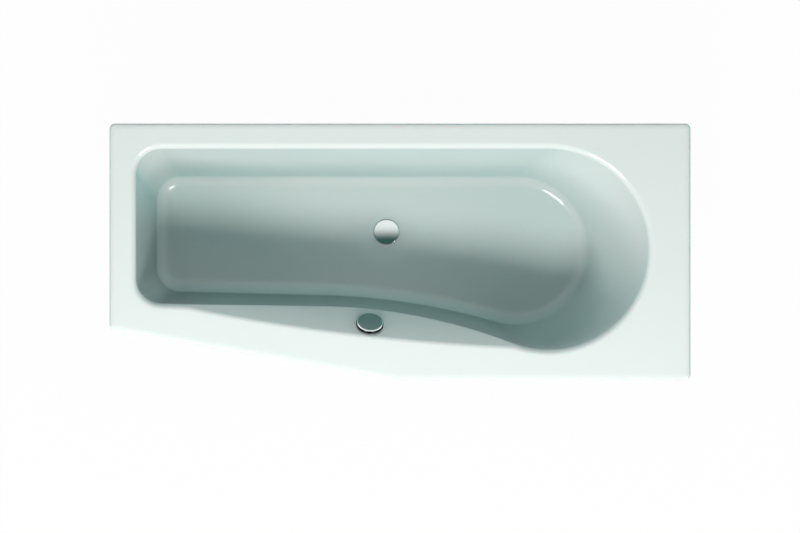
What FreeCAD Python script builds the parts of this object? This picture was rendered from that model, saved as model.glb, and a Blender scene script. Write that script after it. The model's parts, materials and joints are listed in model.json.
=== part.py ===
import FreeCAD, Part
import math
import os

# Asymmetric built-in bath, in millimetres. The origin is on the floor under the middle of the rim,
# +Z is up, +X points to the wide head end and +Y to the wall side.

# Rim, seen from above: a rectangle that narrows to the foot end along a slanted front edge
RIM_LENGTH = 1700.0
RIM_WIDTH = 750.0
FOOT_TAPER = 150.0         # the foot end is this much narrower
SLANT_SHARE = 0.495        # share of the length that the slanted edge takes
RIM_HEIGHT = 600.0         # rim top above the floor
RIM_CORNER_R = 16.0
SLANT_CORNER_R = 400.0     # blunt corner between the straight and the slanted front edge
RIM_EDGE_R = 10.0
LIP_DEPTH = 32.0           # turned-down edge
STEEL = 3.0                # enamelled sheet

# Basin opening: width of the flat rim beside each wall, and how far each wall leans in down to the floor
BACK_RIM = 71.0
FOOT_RIM = 75.0
HEAD_RIM = 117.5
FRONT_RIM = 86.0           # beside the wide part
NARROW_FRONT_RIM = 72.0    # beside the narrow end
BACK_LEAN = 89.0
FOOT_LEAN = 68.0
HEAD_LEAN = 191.5
FRONT_LEAN = 82.0
NARROW_FRONT_LEAN = 39.0
BASIN_DEPTH = 405.0
TOP_CORNER_R = 75.0
FLOOR_CORNER_R = 73.0
TOP_FRONT_DEG = 1.7        # slant of the narrow part's front wall
FLOOR_FRONT_DEG = 1.4
TOP_SWEEP_R = 1900.0       # hollow curve that leads the front wall into the round head end
FLOOR_SWEEP_R = 2000.0
RIM_ROUND_R = 19.0         # from the rim into the wall
FLOOR_FILLET_R = 40.0

# Front facet: a sloping face between the rim and the front wall, widest at the overflow
FACET_DEG = 46.0
FACET_REACH = 72.0
FACET_INSET = 2.4          # the facet's rim line runs out this far inside the basin opening
FACET_END_DEG = -99.0      # where it runs out on the round head end
FACET_LEAST = 1.0          # what is left of it elsewhere
KNEE_R = 8.0
KNEE_BLEND = 16.0

# Outlet in the basin floor
WASTE_X = -39.5
WASTE_Y = 58.0
DISH_SHARE = 0.304         # shallow dish, as a share of the narrow end's floor width
DISH_DROP = 5.0
RECESS_R = 36.5
RECESS_DROP = 4.0
OUTLET_HOLE_R = 26.0

# Overflow in the facet
OVERFLOW_X = -88.8
OVERFLOW_SHARE = 0.39      # how far down the facet
OVERFLOW_SEAT = 0.15       # flat pieces stand off the slightly hollow facet by this much
OVERFLOW_HOLE_R = 27.0

# Gaps: pieces that stay together, and pieces that move past each other
FIT = 0.05
RUN_GAP = 0.35

# Outlet fitting
FLANGE_R = 34.5
FLANGE_T = 2.5
FLANGE_GASKET_T = 1.5
THROAT_WALL = 3.5
WEB_DEPTH = 18.0           # top of the flange to the underside of its web
WEB_T = 3.0
GUIDE_R = 6.5
SCREW_R = 2.0
SCREW_HEAD_R = 3.6
SCREW_HEAD_T = 2.5
SCREW_LENGTH = 17.0
FLANGE_SCREW_R = 16.0
BODY_GASKET_T = 3.0
CUP_R = 44.0
CUP_WALL = 3.0
CUP_HEIGHT = 48.0
TAIL_LENGTH = 20.0
HOSE_ABOVE_CUP_FLOOR = 17.0

# Plug
PLUG_R = 36.3
PLUG_RISE = 8.0
PLUG_EDGE_T = 2.2
SEAL_T = 2.1
STEM_R = 3.0
LEVER_ARM = 25.0
LEVER_SWING_DEG = 28.0
NOSE_R = 2.5
HUB_HALF = 5.0
PIVOT_ABOVE_CUP_FLOOR = 15.0
PIN_R = 2.0

# Trap and outlet pipe
PIPE_R = 20.0
PIPE_WALL = 2.0
THREAD_R = 21.5
BEND_R = 32.0
TRAP_LEG = 34.0            # cup tail to the start of the bend
TRAP_RISE = 18.0           # straight part of the rising leg
OUTLET_INSET = 50.0        # pipe end to the wall side of the rim
NUT_R = 29.0

# Overflow fitting, knob and drum
OVERFLOW_GASKET_T = 2.5
OVERFLOW_PLATE_R = 38.0
OVERFLOW_CUP_DEPTH = 30.5
OVERFLOW_NECK = 42.0       # cup middle down to the hose
OVERFLOW_WALL = 3.0
OVERFLOW_FLANGE_R = 35.0
OVERFLOW_FLANGE_T = 3.0
OVERFLOW_SCREW_R = 23.5
KNOB_R = 40.2
KNOB_LIFT = 3.0            # gap under the knob for the water
KNOB_T = 10.2
KNOB_WALL = 2.5
KNOB_EDGE_R = 6.0
SHAFT_R = 6.0
DRUM_R = 17.0
DRUM_T = 14.0

# Overflow hose and control cable
HOSE_R = 12.0
HOSE_WALL = 2.0
HOSE_BEND_R = 120.0
HOSE_NUT_R = 16.0
HOSE_NUT_L = 18.0
HOSE_STEP = 8.0            # cup wall to the end of the hose
SPIGOT_L = 22.0
CABLE_R = 2.5
CABLE_OFFSET = 24.0        # beside the hose
CABLE_SOCKET = 8.0
FERRULE_R = 4.5
FERRULE_L = 9.0

# Foot rails and feet
RAIL_HEAD_SHARE = 0.225    # share of the floor length from its head end
RAIL_FOOT_SHARE = 0.182    # and from its foot end
RAIL_W = 40.0
RAIL_H = 28.0
RAIL_T = 2.5
RAIL_OVERHANG = 30.0
PAD_T = 4.0
PAD_LENGTH = 60.0
PAD_SHARE = 0.27           # pads and mats reach this share of the floor width from its middle
BACK_FOOT_OUT = 47.0       # feet stand this far outside the floor's edges
HEAD_FOOT_OUT = 51.0
NARROW_FOOT_OUT = 76.0
SPINDLE_R = 5.0
SPINDLE_TOP = 30.0         # above the rail
WELD_NUT_T = 9.0
LOCK_NUT_T = 6.0
NUT_FLATS = 17.0
SOLE_R = 26.0
SOLE_T = 4.0
FOOT_H = 22.0
FOOT_TOP_R = 13.0
SOCKET_DEPTH = 12.0
BALL_R = 7.0
COLLAR_FLATS = 15.0
COLLAR_T = 8.0

# Damping mats and earth lug
MAT_T = 3.0
MAT_SHARE = 0.33
MAT_GAP = 16.0
LUG_INSET = 117.0          # from the floor's foot end
LUG_W = 25.0
LUG_T = 3.0
LUG_DROP = 30.0
LUG_HOLE_R = 3.25

V = FreeCAD.Vector
UP = V(0, 0, 1)
QUARTER = math.pi / 2

# Edges of the basin at the rim and at the floor
FLOOR_Z = RIM_HEIGHT - BASIN_DEPTH
UNDER_Z = FLOOR_Z - STEEL
BACK_Y = RIM_WIDTH / 2 - BACK_RIM
LOW_Y = -RIM_WIDTH / 2 + FRONT_RIM
FOOT_X = -RIM_LENGTH / 2 + FOOT_RIM
TIP_X = RIM_LENGTH / 2 - HEAD_RIM
FOOT_END_WIDTH = RIM_WIDTH - FOOT_TAPER
TOP_FOOT_WIDTH = FOOT_END_WIDTH - BACK_RIM - NARROW_FRONT_RIM
FLOOR_FOOT_WIDTH = TOP_FOOT_WIDTH - BACK_LEAN - NARROW_FRONT_LEAN
FLOOR_BACK_Y = BACK_Y - BACK_LEAN
FLOOR_LOW_Y = LOW_Y + FRONT_LEAN
FLOOR_FOOT_X = FOOT_X + FOOT_LEAN
FLOOR_TIP_X = TIP_X - HEAD_LEAN
FLOOR_MIDDLE_Y = FLOOR_BACK_Y - FLOOR_FOOT_WIDTH / 2

# Places that follow those edges
DISH_R = FLOOR_FOOT_WIDTH * DISH_SHARE
OUTLET_END_Y = RIM_WIDTH / 2 - OUTLET_INSET
FLOOR_LENGTH = FLOOR_TIP_X - FLOOR_FOOT_X
RAIL_HEAD_X = FLOOR_TIP_X - FLOOR_LENGTH * RAIL_HEAD_SHARE
RAIL_FOOT_X = FLOOR_FOOT_X + FLOOR_LENGTH * RAIL_FOOT_SHARE
BACK_FOOT_Y = FLOOR_BACK_Y + BACK_FOOT_OUT
HEAD_FRONT_FOOT_Y = FLOOR_LOW_Y - HEAD_FOOT_OUT
FOOT_FRONT_FOOT_Y = FLOOR_BACK_Y - FLOOR_FOOT_WIDTH - NARROW_FOOT_OUT
LUG_X = FLOOR_FOOT_X + LUG_INSET


# Small builders

def ring(r_in, r_out, z0, z1):
    """Upright tube between two heights."""
    tube = Part.makeCylinder(r_out, z1 - z0, V(0, 0, z0))
    return tube.cut(Part.makeCylinder(r_in, z1 - z0 + 2, V(0, 0, z0 - 1)))


def disc(r, z0, z1, x=0.0, y=0.0):
    """Upright round bar between two heights."""
    return Part.makeCylinder(r, z1 - z0, V(x, y, z0))


def block(x0, x1, y0, y1, z0, z1):
    """Box between two corners."""
    return Part.makeBox(x1 - x0, y1 - y0, z1 - z0, V(x0, y0, z0))


def turned(profile):
    """Solid of revolution about Z from (radius, height) corners."""
    wire = Part.makePolygon([V(r, 0, z) for r, z in profile + profile[:1]])
    return Part.Face(wire).revolve(V(0, 0, 0), UP, 360)


def sector(r_in, r_out, z0, z1, centre_deg, span_deg):
    """Part of an upright tube, spanning an angle."""
    wedge = Part.makeCylinder(r_out, z1 - z0, V(0, 0, z0), UP, span_deg)
    wedge.rotate(V(0, 0, 0), UP, centre_deg - span_deg / 2)
    return wedge.cut(disc(r_in, z0 - 1, z1 + 1))


def hexagon(flats, z0, z1):
    """Upright hexagonal bar."""
    r = flats / math.sqrt(3)
    corners = [V(r * math.cos(k * math.pi / 3), r * math.sin(k * math.pi / 3), z0) for k in range(7)]
    return Part.Face(Part.makePolygon(corners)).extrude(V(0, 0, z1 - z0))


def fluted_nut(bore_r, lip_r, outer_r, lip_t, length, flutes):
    """Union nut with a lip at z = 0 and grip grooves round the outside."""
    nut = ring(lip_r, outer_r, 0, lip_t).fuse(ring(bore_r, outer_r, lip_t, length))
    for k in range(flutes):
        a = 2 * math.pi * k / flutes
        nut = nut.cut(disc(1.6, -1, length + 1, (outer_r + 0.5) * math.cos(a), (outer_r + 0.5) * math.sin(a)))
    return nut.removeSplitter()


def aimed(shape, base, direction):
    """The shape with its Z axis turned to a direction and its origin moved to a point."""
    moved = shape.copy()
    moved.Placement = FreeCAD.Placement(base, FreeCAD.Rotation(UP, direction)).multiply(moved.Placement)
    return moved


def shifted(shape, x, y, z=0.0):
    """A moved copy."""
    moved = shape.copy()
    moved.translate(V(x, y, z))
    return moved


def round_path(corners, bend_r):
    """Wire through the corners, each rounded with the same bend radius."""
    edges = []
    start = corners[0]
    for before, corner, after in zip(corners, corners[1:], corners[2:]):
        u = (before - corner).normalize()
        w = (after - corner).normalize()
        half = u.getAngle(w) / 2
        a = corner + u * (bend_r / math.tan(half))
        b = corner + w * (bend_r / math.tan(half))
        middle = corner + (u + w).normalize() * (bend_r / math.sin(half) - bend_r)
        if (a - start).Length > 1e-6:
            edges.append(Part.makeLine(start, a))
        edges.append(Part.Arc(a, middle, b).toShape())
        start = b
    edges.append(Part.makeLine(start, corners[-1]))
    return Part.Wire(edges)


def bar_along(path, r):
    """Round bar swept along a wire."""
    first = path.Edges[0]
    circle = Part.makeCircle(r, first.valueAt(first.FirstParameter), first.tangentAt(first.FirstParameter))
    return path.makePipeShell([Part.Wire([circle])], True, True)


def tube_along(corners, bend_r, r_out, r_in):
    """Hollow tube along rounded corners, open at both ends."""
    path = round_path(corners, bend_r)
    return bar_along(path, r_out).cut(bar_along(path, r_in))


def group(shapes):
    """Separate solids of one kind."""
    return Part.makeCompound(shapes)


parts = {}


# Basin outlines at the rim and at the floor

def line_stations(count, start, end, normal):
    """(point, inward normal) along a straight wall, without its end."""
    return [(start + (end - start) * (k / count), normal) for k in range(count)]


def arc_stations(count, centre, r, a0, a1, inward):
    """(point, inward normal) along a round wall, without its end."""
    stations = []
    for k in range(count):
        a = a0 + (a1 - a0) * k / count
        out = V(math.cos(a), math.sin(a), 0)
        stations.append((centre + out * r, out * inward))
    return stations


SEGMENTS = (26, 48, 30, 20, 10, 8, 10)    # back, head, sweep, front, corner, foot, corner


def outline(back_y, foot_x, tip_x, low_y, foot_width, corner_r, front_deg, sweep_r):
    """Stations round the basin, clockwise from the back wall's foot end, and the head end's circle.

    The sweep touches the front wall's line and the head circle from outside, so its centre is
    sweep_r below the line and sweep_r + head_r from the head centre.
    """
    head_r = (back_y - low_y) / 2
    head = V(tip_x - head_r, (back_y + low_y) / 2, 0)
    slant = math.radians(front_deg)
    along = V(math.cos(slant), -math.sin(slant), 0)
    inward = V(math.sin(slant), math.cos(slant), 0)
    corner = V(foot_x + corner_r, back_y - foot_width, 0)
    q = corner - inward * sweep_r - head
    b = q.dot(along)
    reach = -b - math.sqrt(b * b - q.dot(q) + (sweep_r + head_r) ** 2)
    sweep = head + q + along * reach
    touch = corner + along * reach
    head_end = math.atan2(sweep.y - head.y, sweep.x - head.x)
    sweep_start = math.atan2(head.y - sweep.y, head.x - sweep.x)
    front = V(corner.x, corner.y + corner_r / inward.y, 0)
    back = V(foot_x + corner_r, back_y - corner_r, 0)
    n = SEGMENTS
    stations = line_stations(n[0], V(back.x, back_y, 0), V(head.x, back_y, 0), V(0, -1, 0))
    stations += arc_stations(n[1], head, head_r, QUARTER, head_end, -1)
    stations += arc_stations(n[2], sweep, sweep_r, sweep_start, QUARTER - slant, 1)
    stations += line_stations(n[3], touch, front - inward * corner_r, inward)
    stations += arc_stations(n[4], front, corner_r, -QUARTER - slant, -2 * QUARTER, -1)
    stations += line_stations(n[5], V(foot_x, front.y, 0), V(foot_x, back.y, 0), V(1, 0, 0))
    stations += arc_stations(n[6], back, corner_r, 2 * QUARTER, QUARTER, -1)
    return stations, head, head_r


opening, head_centre, head_r = outline(
    BACK_Y, FOOT_X, TIP_X, LOW_Y, TOP_FOOT_WIDTH, TOP_CORNER_R, TOP_FRONT_DEG, TOP_SWEEP_R)
floor_line, _, _ = outline(
    FLOOR_BACK_Y, FLOOR_FOOT_X, FLOOR_TIP_X, FLOOR_LOW_Y,
    FLOOR_FOOT_WIDTH, FLOOR_CORNER_R, FLOOR_FRONT_DEG, FLOOR_SWEEP_R)


# Facet: its rim line is one large arc through three points beside the front wall

def front_y(x):
    """The opening's front wall at a length position."""
    for (p, normal), (q, _) in zip(opening, opening[1:]):
        if normal.y > 0.5 and q.x <= x <= p.x:
            return q.y + (p.y - q.y) * (x - q.x) / (p.x - q.x)


facet_end = math.radians(FACET_END_DEG)
facet_start_x = FOOT_X + TOP_CORNER_R
facet_end_x = head_centre.x + head_r * math.cos(facet_end)
facet_rim = Part.Arc(
    V(facet_start_x, BACK_Y - TOP_FOOT_WIDTH + FACET_INSET, 0),
    V(OVERFLOW_X, front_y(OVERFLOW_X) - FACET_REACH, 0),
    head_centre + V(math.cos(facet_end), math.sin(facet_end), 0) * (head_r - FACET_INSET)).toShape().Curve


def facet_reach(point, inward):
    """How far the facet's rim line lies outside the opening, straight out from the wall."""
    if inward.y < 0.5 or not facet_start_x <= point.x <= facet_end_x:
        return 0.0
    p = point - facet_rim.Center
    b = p.dot(inward)
    return b + math.sqrt(b * b - p.dot(p) + facet_rim.Radius ** 2)


def section(run, reach):
    """(inset, depth, slope) down one wall: rim round, facet, knee, wall and floor fillet.

    run is how far the wall leans in over the whole depth, reach how far out the facet starts.
    """
    lean = math.atan2(BASIN_DEPTH, run)
    facet = math.radians(FACET_DEG)
    least = RIM_ROUND_R * (math.tan(lean / 2) - math.tan(facet / 2)) + FACET_LEAST
    reach = max(reach, least)
    s = min((reach - least) / KNEE_BLEND, 1.0)
    knee_r = RIM_ROUND_R + (KNEE_R - RIM_ROUND_R) * s * s * (3 - 2 * s)
    knee_depth = reach * math.tan(facet) / (1 - run * math.tan(facet) / BASIN_DEPTH)
    knee_inset = run * knee_depth / BASIN_DEPTH
    back_off = knee_r * math.tan((lean - facet) / 2)
    rim_e = -reach - RIM_ROUND_R * math.tan(facet / 2)
    knee_e = knee_inset - back_off * math.cos(facet) - knee_r * math.sin(facet)
    knee_d = knee_depth - back_off * math.sin(facet) + knee_r * math.cos(facet)
    floor_e = run + FLOOR_FILLET_R * math.tan(lean / 2)
    points = []
    for k in range(7):
        a = facet * k / 6
        points.append((rim_e + RIM_ROUND_R * math.sin(a), RIM_ROUND_R * (1 - math.cos(a)), a))
    for k in range(6):
        a = facet + (lean - facet) * k / 5
        points.append((knee_e + knee_r * math.sin(a), knee_d - knee_r * math.cos(a), a))
    for k in range(9):
        a = lean * (1 - k / 8)
        points.append((floor_e - FLOOR_FILLET_R * math.sin(a),
                       BASIN_DEPTH - FLOOR_FILLET_R * (1 - math.cos(a)), a))
    return points


def wall_columns(thickness):
    """Points down the wall at every station, pushed outwards by a thickness."""
    columns = []
    for (top, inward), (low, _) in zip(opening, floor_line):
        side = V(-inward.y, inward.x, 0)
        run = (low - top).dot(inward)
        drift = (low - top).dot(side)
        column = []
        for inset, depth, slope in section(run, facet_reach(top, inward)):
            e = inset - thickness * math.sin(slope)
            d = depth + thickness * math.cos(slope)
            column.append(top + inward * e + side * (drift * d / BASIN_DEPTH) + V(0, 0, RIM_HEIGHT - d))
        columns.append(column)
    return columns


inside = wall_columns(0.0)
outside = wall_columns(STEEL)
for upper, lower in zip(inside, outside):
    lower[0] = upper[0] - V(0, 0, STEEL)

knots = [0.0]
for (p, _), (q, _) in zip(opening, opening[1:] + opening[:1]):
    knots.append(knots[-1] + (q - p).Length)
knots = [k / knots[-1] for k in knots]
splits = [sum(SEGMENTS[:k]) for k in (0, 1, 2, 3, 6, 7)]


def ring_edges(points):
    """One level line round the basin, as smooth edges that meet at the wall segments."""
    curve = Part.BSplineCurve()
    curve.interpolate(Points=points, PeriodicFlag=True, Parameters=knots)
    edges = []
    for a, b in zip(splits, splits[1:]):
        piece = curve.copy()
        piece.segment(knots[a], knots[b])
        edges.append(piece.toShape())
    return edges


def wall_skin(columns):
    """Level lines and the faces between them."""
    levels = [ring_edges(list(points)) for points in zip(*columns)]
    faces = []
    for upper, lower in zip(levels, levels[1:]):
        faces += [Part.makeRuledSurface(a, b) for a, b in zip(upper, lower)]
    return levels, faces


def rim_block(inset, top, bottom, edge_r):
    """The rim's outline as a solid with a rounded top edge."""
    half_l = RIM_LENGTH / 2
    half_w = RIM_WIDTH / 2
    slant_x = -half_l + RIM_LENGTH * SLANT_SHARE
    corners = [V(-half_l, half_w, bottom), V(half_l, half_w, bottom), V(half_l, -half_w, bottom),
               V(slant_x, -half_w, bottom), V(-half_l, half_w - FOOT_END_WIDTH, bottom)]
    radii = [RIM_CORNER_R, RIM_CORNER_R, RIM_CORNER_R, SLANT_CORNER_R, RIM_CORNER_R]
    edges = []
    for k, corner in enumerate(corners):
        u = (corners[k - 1] - corner).normalize()
        w = (corners[(k + 1) % len(corners)] - corner).normalize()
        half = u.getAngle(w) / 2
        r = radii[k] - inset
        centre = corner + (u + w).normalize() * (radii[k] / math.sin(half))
        a = centre + (u * (1 / math.tan(half)) - (u + w).normalize() * (1 / math.sin(half))) * r
        b = centre + (w * (1 / math.tan(half)) - (u + w).normalize() * (1 / math.sin(half))) * r
        if edges:
            edges.append(Part.makeLine(edges[-1].valueAt(edges[-1].LastParameter), a))
        edges.append(Part.Arc(a, centre - (u + w).normalize() * r, b).toShape())
    last = edges[-1].valueAt(edges[-1].LastParameter)
    edges.append(Part.makeLine(last, edges[0].valueAt(edges[0].FirstParameter)))
    solid = Part.Face(Part.Wire(edges)).extrude(V(0, 0, top - bottom))
    top_edges = [e for e in solid.Edges if e.BoundBox.ZMin > top - 0.001]
    return solid.makeFillet(edge_r, top_edges)


# Tub: rim and lip, with the basin's two skins sewn to the rim plate

lip_z = RIM_HEIGHT - LIP_DEPTH
tray = rim_block(0.0, RIM_HEIGHT, lip_z, RIM_EDGE_R)
tray = tray.cut(rim_block(STEEL, RIM_HEIGHT - STEEL, lip_z - 10, RIM_EDGE_R - STEEL))
inner_levels, inner_faces = wall_skin(inside)
outer_levels, outer_faces = wall_skin(outside)
skin = inner_faces + outer_faces
skin += [Part.Face(Part.Wire(inner_levels[-1])), Part.Face(Part.Wire(outer_levels[-1]))]
for face in tray.Faces:
    flat = face.BoundBox.ZLength < 0.001
    if flat and face.BoundBox.ZMax > RIM_HEIGHT - 0.001:
        face = Part.makeFace([face.OuterWire, Part.Wire(inner_levels[0])], "Part::FaceMakerBullseye")
    elif flat and face.BoundBox.ZMax > RIM_HEIGHT - STEEL - 0.001:
        face = Part.makeFace([face.OuterWire, Part.Wire(outer_levels[0])], "Part::FaceMakerBullseye")
    skin.append(face)
shell = Part.makeShell(skin)
shell.sewShape()
tub = Part.makeSolid(shell)

outlet_z = FLOOR_Z - DISH_DROP - RECESS_DROP
cup_r = RECESS_R + STEEL
dish = turned([(0, FLOOR_Z - STEEL / 2), (DISH_R + 2, FLOOR_Z - STEEL / 2), (DISH_R + 2, UNDER_Z),
               (cup_r, UNDER_Z - DISH_DROP), (cup_r, outlet_z - STEEL), (0, outlet_z - STEEL)])
hollow = turned([(0, FLOOR_Z + 5), (DISH_R, FLOOR_Z + 5), (DISH_R, FLOOR_Z), (RECESS_R, FLOOR_Z - DISH_DROP),
                 (RECESS_R, outlet_z), (OUTLET_HOLE_R, outlet_z), (OUTLET_HOLE_R, outlet_z - 20),
                 (0, outlet_z - 20)])
tub = tub.fuse(shifted(dish, WASTE_X, WASTE_Y)).cut(shifted(hollow, WASTE_X, WASTE_Y))

# Overflow axis: square to the facet, at a share of its slope
facet_line = [c[6] + (c[7] - c[6]) * OVERFLOW_SHARE for c in inside]
for k, (p, q) in enumerate(zip(facet_line, facet_line[1:])):
    if p.y < front_y(OVERFLOW_X) and q.x <= OVERFLOW_X <= p.x:
        overflow = q + (p - q) * ((OVERFLOW_X - q.x) / (p.x - q.x))
        level = (p - q).normalize()
        slope = (inside[k][6] - inside[k][7]).normalize()
inward = slope.cross(level).normalize()
overflow_turn = FreeCAD.Rotation(level, inward.cross(level), inward, "ZXY")


def on_facet(shape):
    """Places a shape made about Z, with z = 0 on the facet and +Z into the basin."""
    moved = shape.copy()
    moved.Placement = FreeCAD.Placement(overflow, overflow_turn).multiply(moved.Placement)
    return moved


parts["tub_shell"] = tub.cut(on_facet(disc(OVERFLOW_HOLE_R, -KNOB_R, KNOB_R)))


# Outlet fitting: flange above the floor, cup below it

def at_waste(shape):
    """Moves a shape made about the outlet's axis."""
    return shifted(shape, WASTE_X, WASTE_Y)


flange_z = outlet_z + FLANGE_GASKET_T
flange_top = flange_z + FLANGE_T
web_z = flange_top - WEB_DEPTH
throat_r = OUTLET_HOLE_R - 1.0
throat_bore = throat_r - THROAT_WALL
screw_angles = (30, 150, 270)


def waste_screw_points():
    """Screw positions about the outlet's axis."""
    return [(FLANGE_SCREW_R * math.cos(math.radians(a)), FLANGE_SCREW_R * math.sin(math.radians(a)))
            for a in screw_angles]


parts["flange_gasket"] = at_waste(ring(OUTLET_HOLE_R + 0.3, RECESS_R - 3, outlet_z, flange_z))
flange = turned([(throat_bore, web_z), (throat_r, web_z), (throat_r, flange_z), (FLANGE_R, flange_z),
                 (FLANGE_R, flange_top - 0.8), (FLANGE_R - 0.8, flange_top), (throat_bore + 1.5, flange_top),
                 (throat_bore, flange_top - 1.5)])
flange = flange.fuse(disc(throat_bore + 1, web_z, web_z + WEB_T)).fuse(disc(GUIDE_R, web_z - 6, web_z + 6))
for a in screw_angles:
    flange = flange.cut(sector(GUIDE_R + 1, throat_bore - 1, web_z - 1, web_z + WEB_T + 1, a + 60, 62))
for x, y in waste_screw_points():
    flange = flange.cut(disc(SCREW_R + FIT, web_z - 1, web_z + WEB_T + 1, x, y))
flange = flange.cut(disc(STEM_R + RUN_GAP, web_z - 10, web_z + 10))
parts["waste_flange"] = at_waste(flange)


def cross_screw(head_z):
    """Flat-headed screw with a cross slot, head standing on a height."""
    screw = disc(SCREW_HEAD_R, head_z, head_z + SCREW_HEAD_T)
    screw = screw.fuse(disc(SCREW_R, head_z - SCREW_LENGTH, head_z))
    long, short, top = SCREW_HEAD_R * 0.65, 0.45, head_z + SCREW_HEAD_T
    screw = screw.cut(block(-long, long, -short, short, top - 1.2, top + 1))
    return screw.cut(block(-short, short, -long, long, top - 1.2, top + 1))


head_z = web_z + WEB_T
parts["flange_screws"] = group([at_waste(shifted(cross_screw(head_z), x, y)) for x, y in waste_screw_points()])

cup_top = outlet_z - STEEL - BODY_GASKET_T
cup_z = cup_top - CUP_HEIGHT
cup_floor = cup_z + CUP_WALL
cup_bore = CUP_R - CUP_WALL
tail_bore = PIPE_R - PIPE_WALL
hose_z = cup_floor + HOSE_ABOVE_CUP_FLOOR
pivot_z = cup_floor + PIVOT_ABOVE_CUP_FLOOR
pivot_y = LEVER_ARM
ear_in = HUB_HALF + RUN_GAP
ear_out = ear_in + 3.0
parts["body_gasket"] = at_waste(ring(OUTLET_HOLE_R + 1, OUTLET_HOLE_R + 12, cup_top, cup_top + BODY_GASKET_T))

cup = ring(cup_bore, CUP_R, cup_z, cup_top)
cup = cup.fuse(ring(OUTLET_HOLE_R, CUP_R, cup_top - 4, cup_top))
cup = cup.fuse(ring(tail_bore, CUP_R, cup_z, cup_floor))
cup = cup.fuse(ring(tail_bore, THREAD_R, cup_z - TAIL_LENGTH, cup_z))
for (x, y), a in zip(waste_screw_points(), screw_angles):
    rib = block(FLANGE_SCREW_R, cup_bore + 1, -2, 2, web_z - 22, web_z - 2)
    rib.rotate(V(0, 0, 0), UP, a)
    cup = cup.fuse(rib).fuse(disc(SCREW_R + 2.4, web_z - 22, web_z, x, y))
    cup = cup.cut(disc(SCREW_R + FIT, web_z - 18, web_z + 1, x, y))
for side in (-1, 1):
    x0, x1 = sorted((side * ear_in, side * ear_out))
    cup = cup.fuse(block(x0, x1, pivot_y - 5, pivot_y + 5, cup_floor - 1, pivot_z + 5))
pin_axis = V(1, 0, 0)
pin_length = 2 * ear_out + 2
cup = cup.cut(Part.makeCylinder(PIN_R + FIT, 2 * ear_out + 4, V(-ear_out - 2, pivot_y, pivot_z), pin_axis))
pin = Part.makeCylinder(PIN_R, pin_length, V(-pin_length / 2, pivot_y, pivot_z), pin_axis)
parts["lever_pin"] = at_waste(pin)
cup = at_waste(cup)

# Hose and cable run down from the overflow and then level to the cup, side by side
waste = V(WASTE_X, WASTE_Y, 0)
hose_from = overflow - inward * (STEEL + OVERFLOW_GASKET_T + OVERFLOW_CUP_DEPTH / 2)
run = V(WASTE_X - hose_from.x, WASTE_Y - hose_from.y, 0)
ahead = V(run).normalize()
aside = V(ahead.y, -ahead.x, 0)
cable_from = hose_from + aside * CABLE_OFFSET
hose_top = V(hose_from.x, hose_from.y, hose_from.z - OVERFLOW_NECK)
hose_end = waste - ahead * (CUP_R + HOSE_STEP) + V(0, 0, hose_z)
cable_top = V(cable_from.x, cable_from.y, hose_top.z + 4.0)
cable_back = math.sqrt(CUP_R ** 2 - CABLE_OFFSET ** 2) + 12.0
cable_end = waste + aside * CABLE_OFFSET - ahead * cable_back + V(0, 0, hose_z)

spigot_r = HOSE_R - HOSE_WALL - FIT
cup = cup.fuse(aimed(disc(HOSE_R + 1, 0, 12), hose_end, ahead))
cup = cup.fuse(aimed(disc(spigot_r, -SPIGOT_L, 12), hose_end, ahead))
cup = cup.fuse(aimed(disc(FERRULE_R + 1, 0, 16), cable_end, ahead))
cup = cup.cut(aimed(disc(spigot_r - 1.5, -SPIGOT_L - 1, 16), hose_end, ahead))
cup = cup.cut(aimed(disc(CABLE_R + FIT, -1, 18), cable_end, ahead))
parts["waste_body"] = cup

hose_corners = [hose_top, V(hose_top.x, hose_top.y, hose_z), hose_end]
parts["overflow_hose"] = tube_along(hose_corners, HOSE_BEND_R, HOSE_R, HOSE_R - HOSE_WALL)
hose_nut = fluted_nut(HOSE_R + FIT, HOSE_R + FIT, HOSE_NUT_R, 2, HOSE_NUT_L, 10)
parts["hose_nuts"] = group([aimed(hose_nut, hose_top, V(0, 0, -1)), aimed(hose_nut, hose_end, ahead * -1)])
sheath_ends = [cable_top + V(0, 0, CABLE_SOCKET), V(cable_top.x, cable_top.y, hose_z),
               cable_end + ahead * CABLE_SOCKET]
parts["bowden_sheath"] = bar_along(round_path(sheath_ends, HOSE_BEND_R), CABLE_R)
ferrule = turned([(CABLE_R + FIT, 0), (FERRULE_R, 0), (FERRULE_R, FERRULE_L - 3), (CABLE_R + 1, FERRULE_L),
                  (CABLE_R + FIT, FERRULE_L)])
parts["cable_ferrules"] = group([aimed(ferrule, cable_top, V(0, 0, -1)), aimed(ferrule, cable_end, ahead * -1)])

# Lever: its nose stands under the stem, low at rest
half_swing = math.radians(LEVER_SWING_DEG / 2)
lever = Part.makeCylinder(5.0, 2 * HUB_HALF, V(-HUB_HALF, 0, 0), pin_axis)
lever = lever.fuse(block(-3, 3, -LEVER_ARM, 0, -NOSE_R * 0.64, NOSE_R * 0.64))
lever = lever.fuse(Part.makeCylinder(NOSE_R, 6, V(-3, -LEVER_ARM, 0), pin_axis))
lever = lever.fuse(block(-2.5, 2.5, -2.5, 2.5, 0, 11))
lever = lever.cut(Part.makeCylinder(PIN_R + RUN_GAP, 2 * HUB_HALF + 2, V(-HUB_HALF - 1, 0, 0), pin_axis))
lever.rotate(V(0, 0, 0), pin_axis, LEVER_SWING_DEG / 2)
parts["lift_lever"] = at_waste(shifted(lever, 0, pivot_y, pivot_z))

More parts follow.
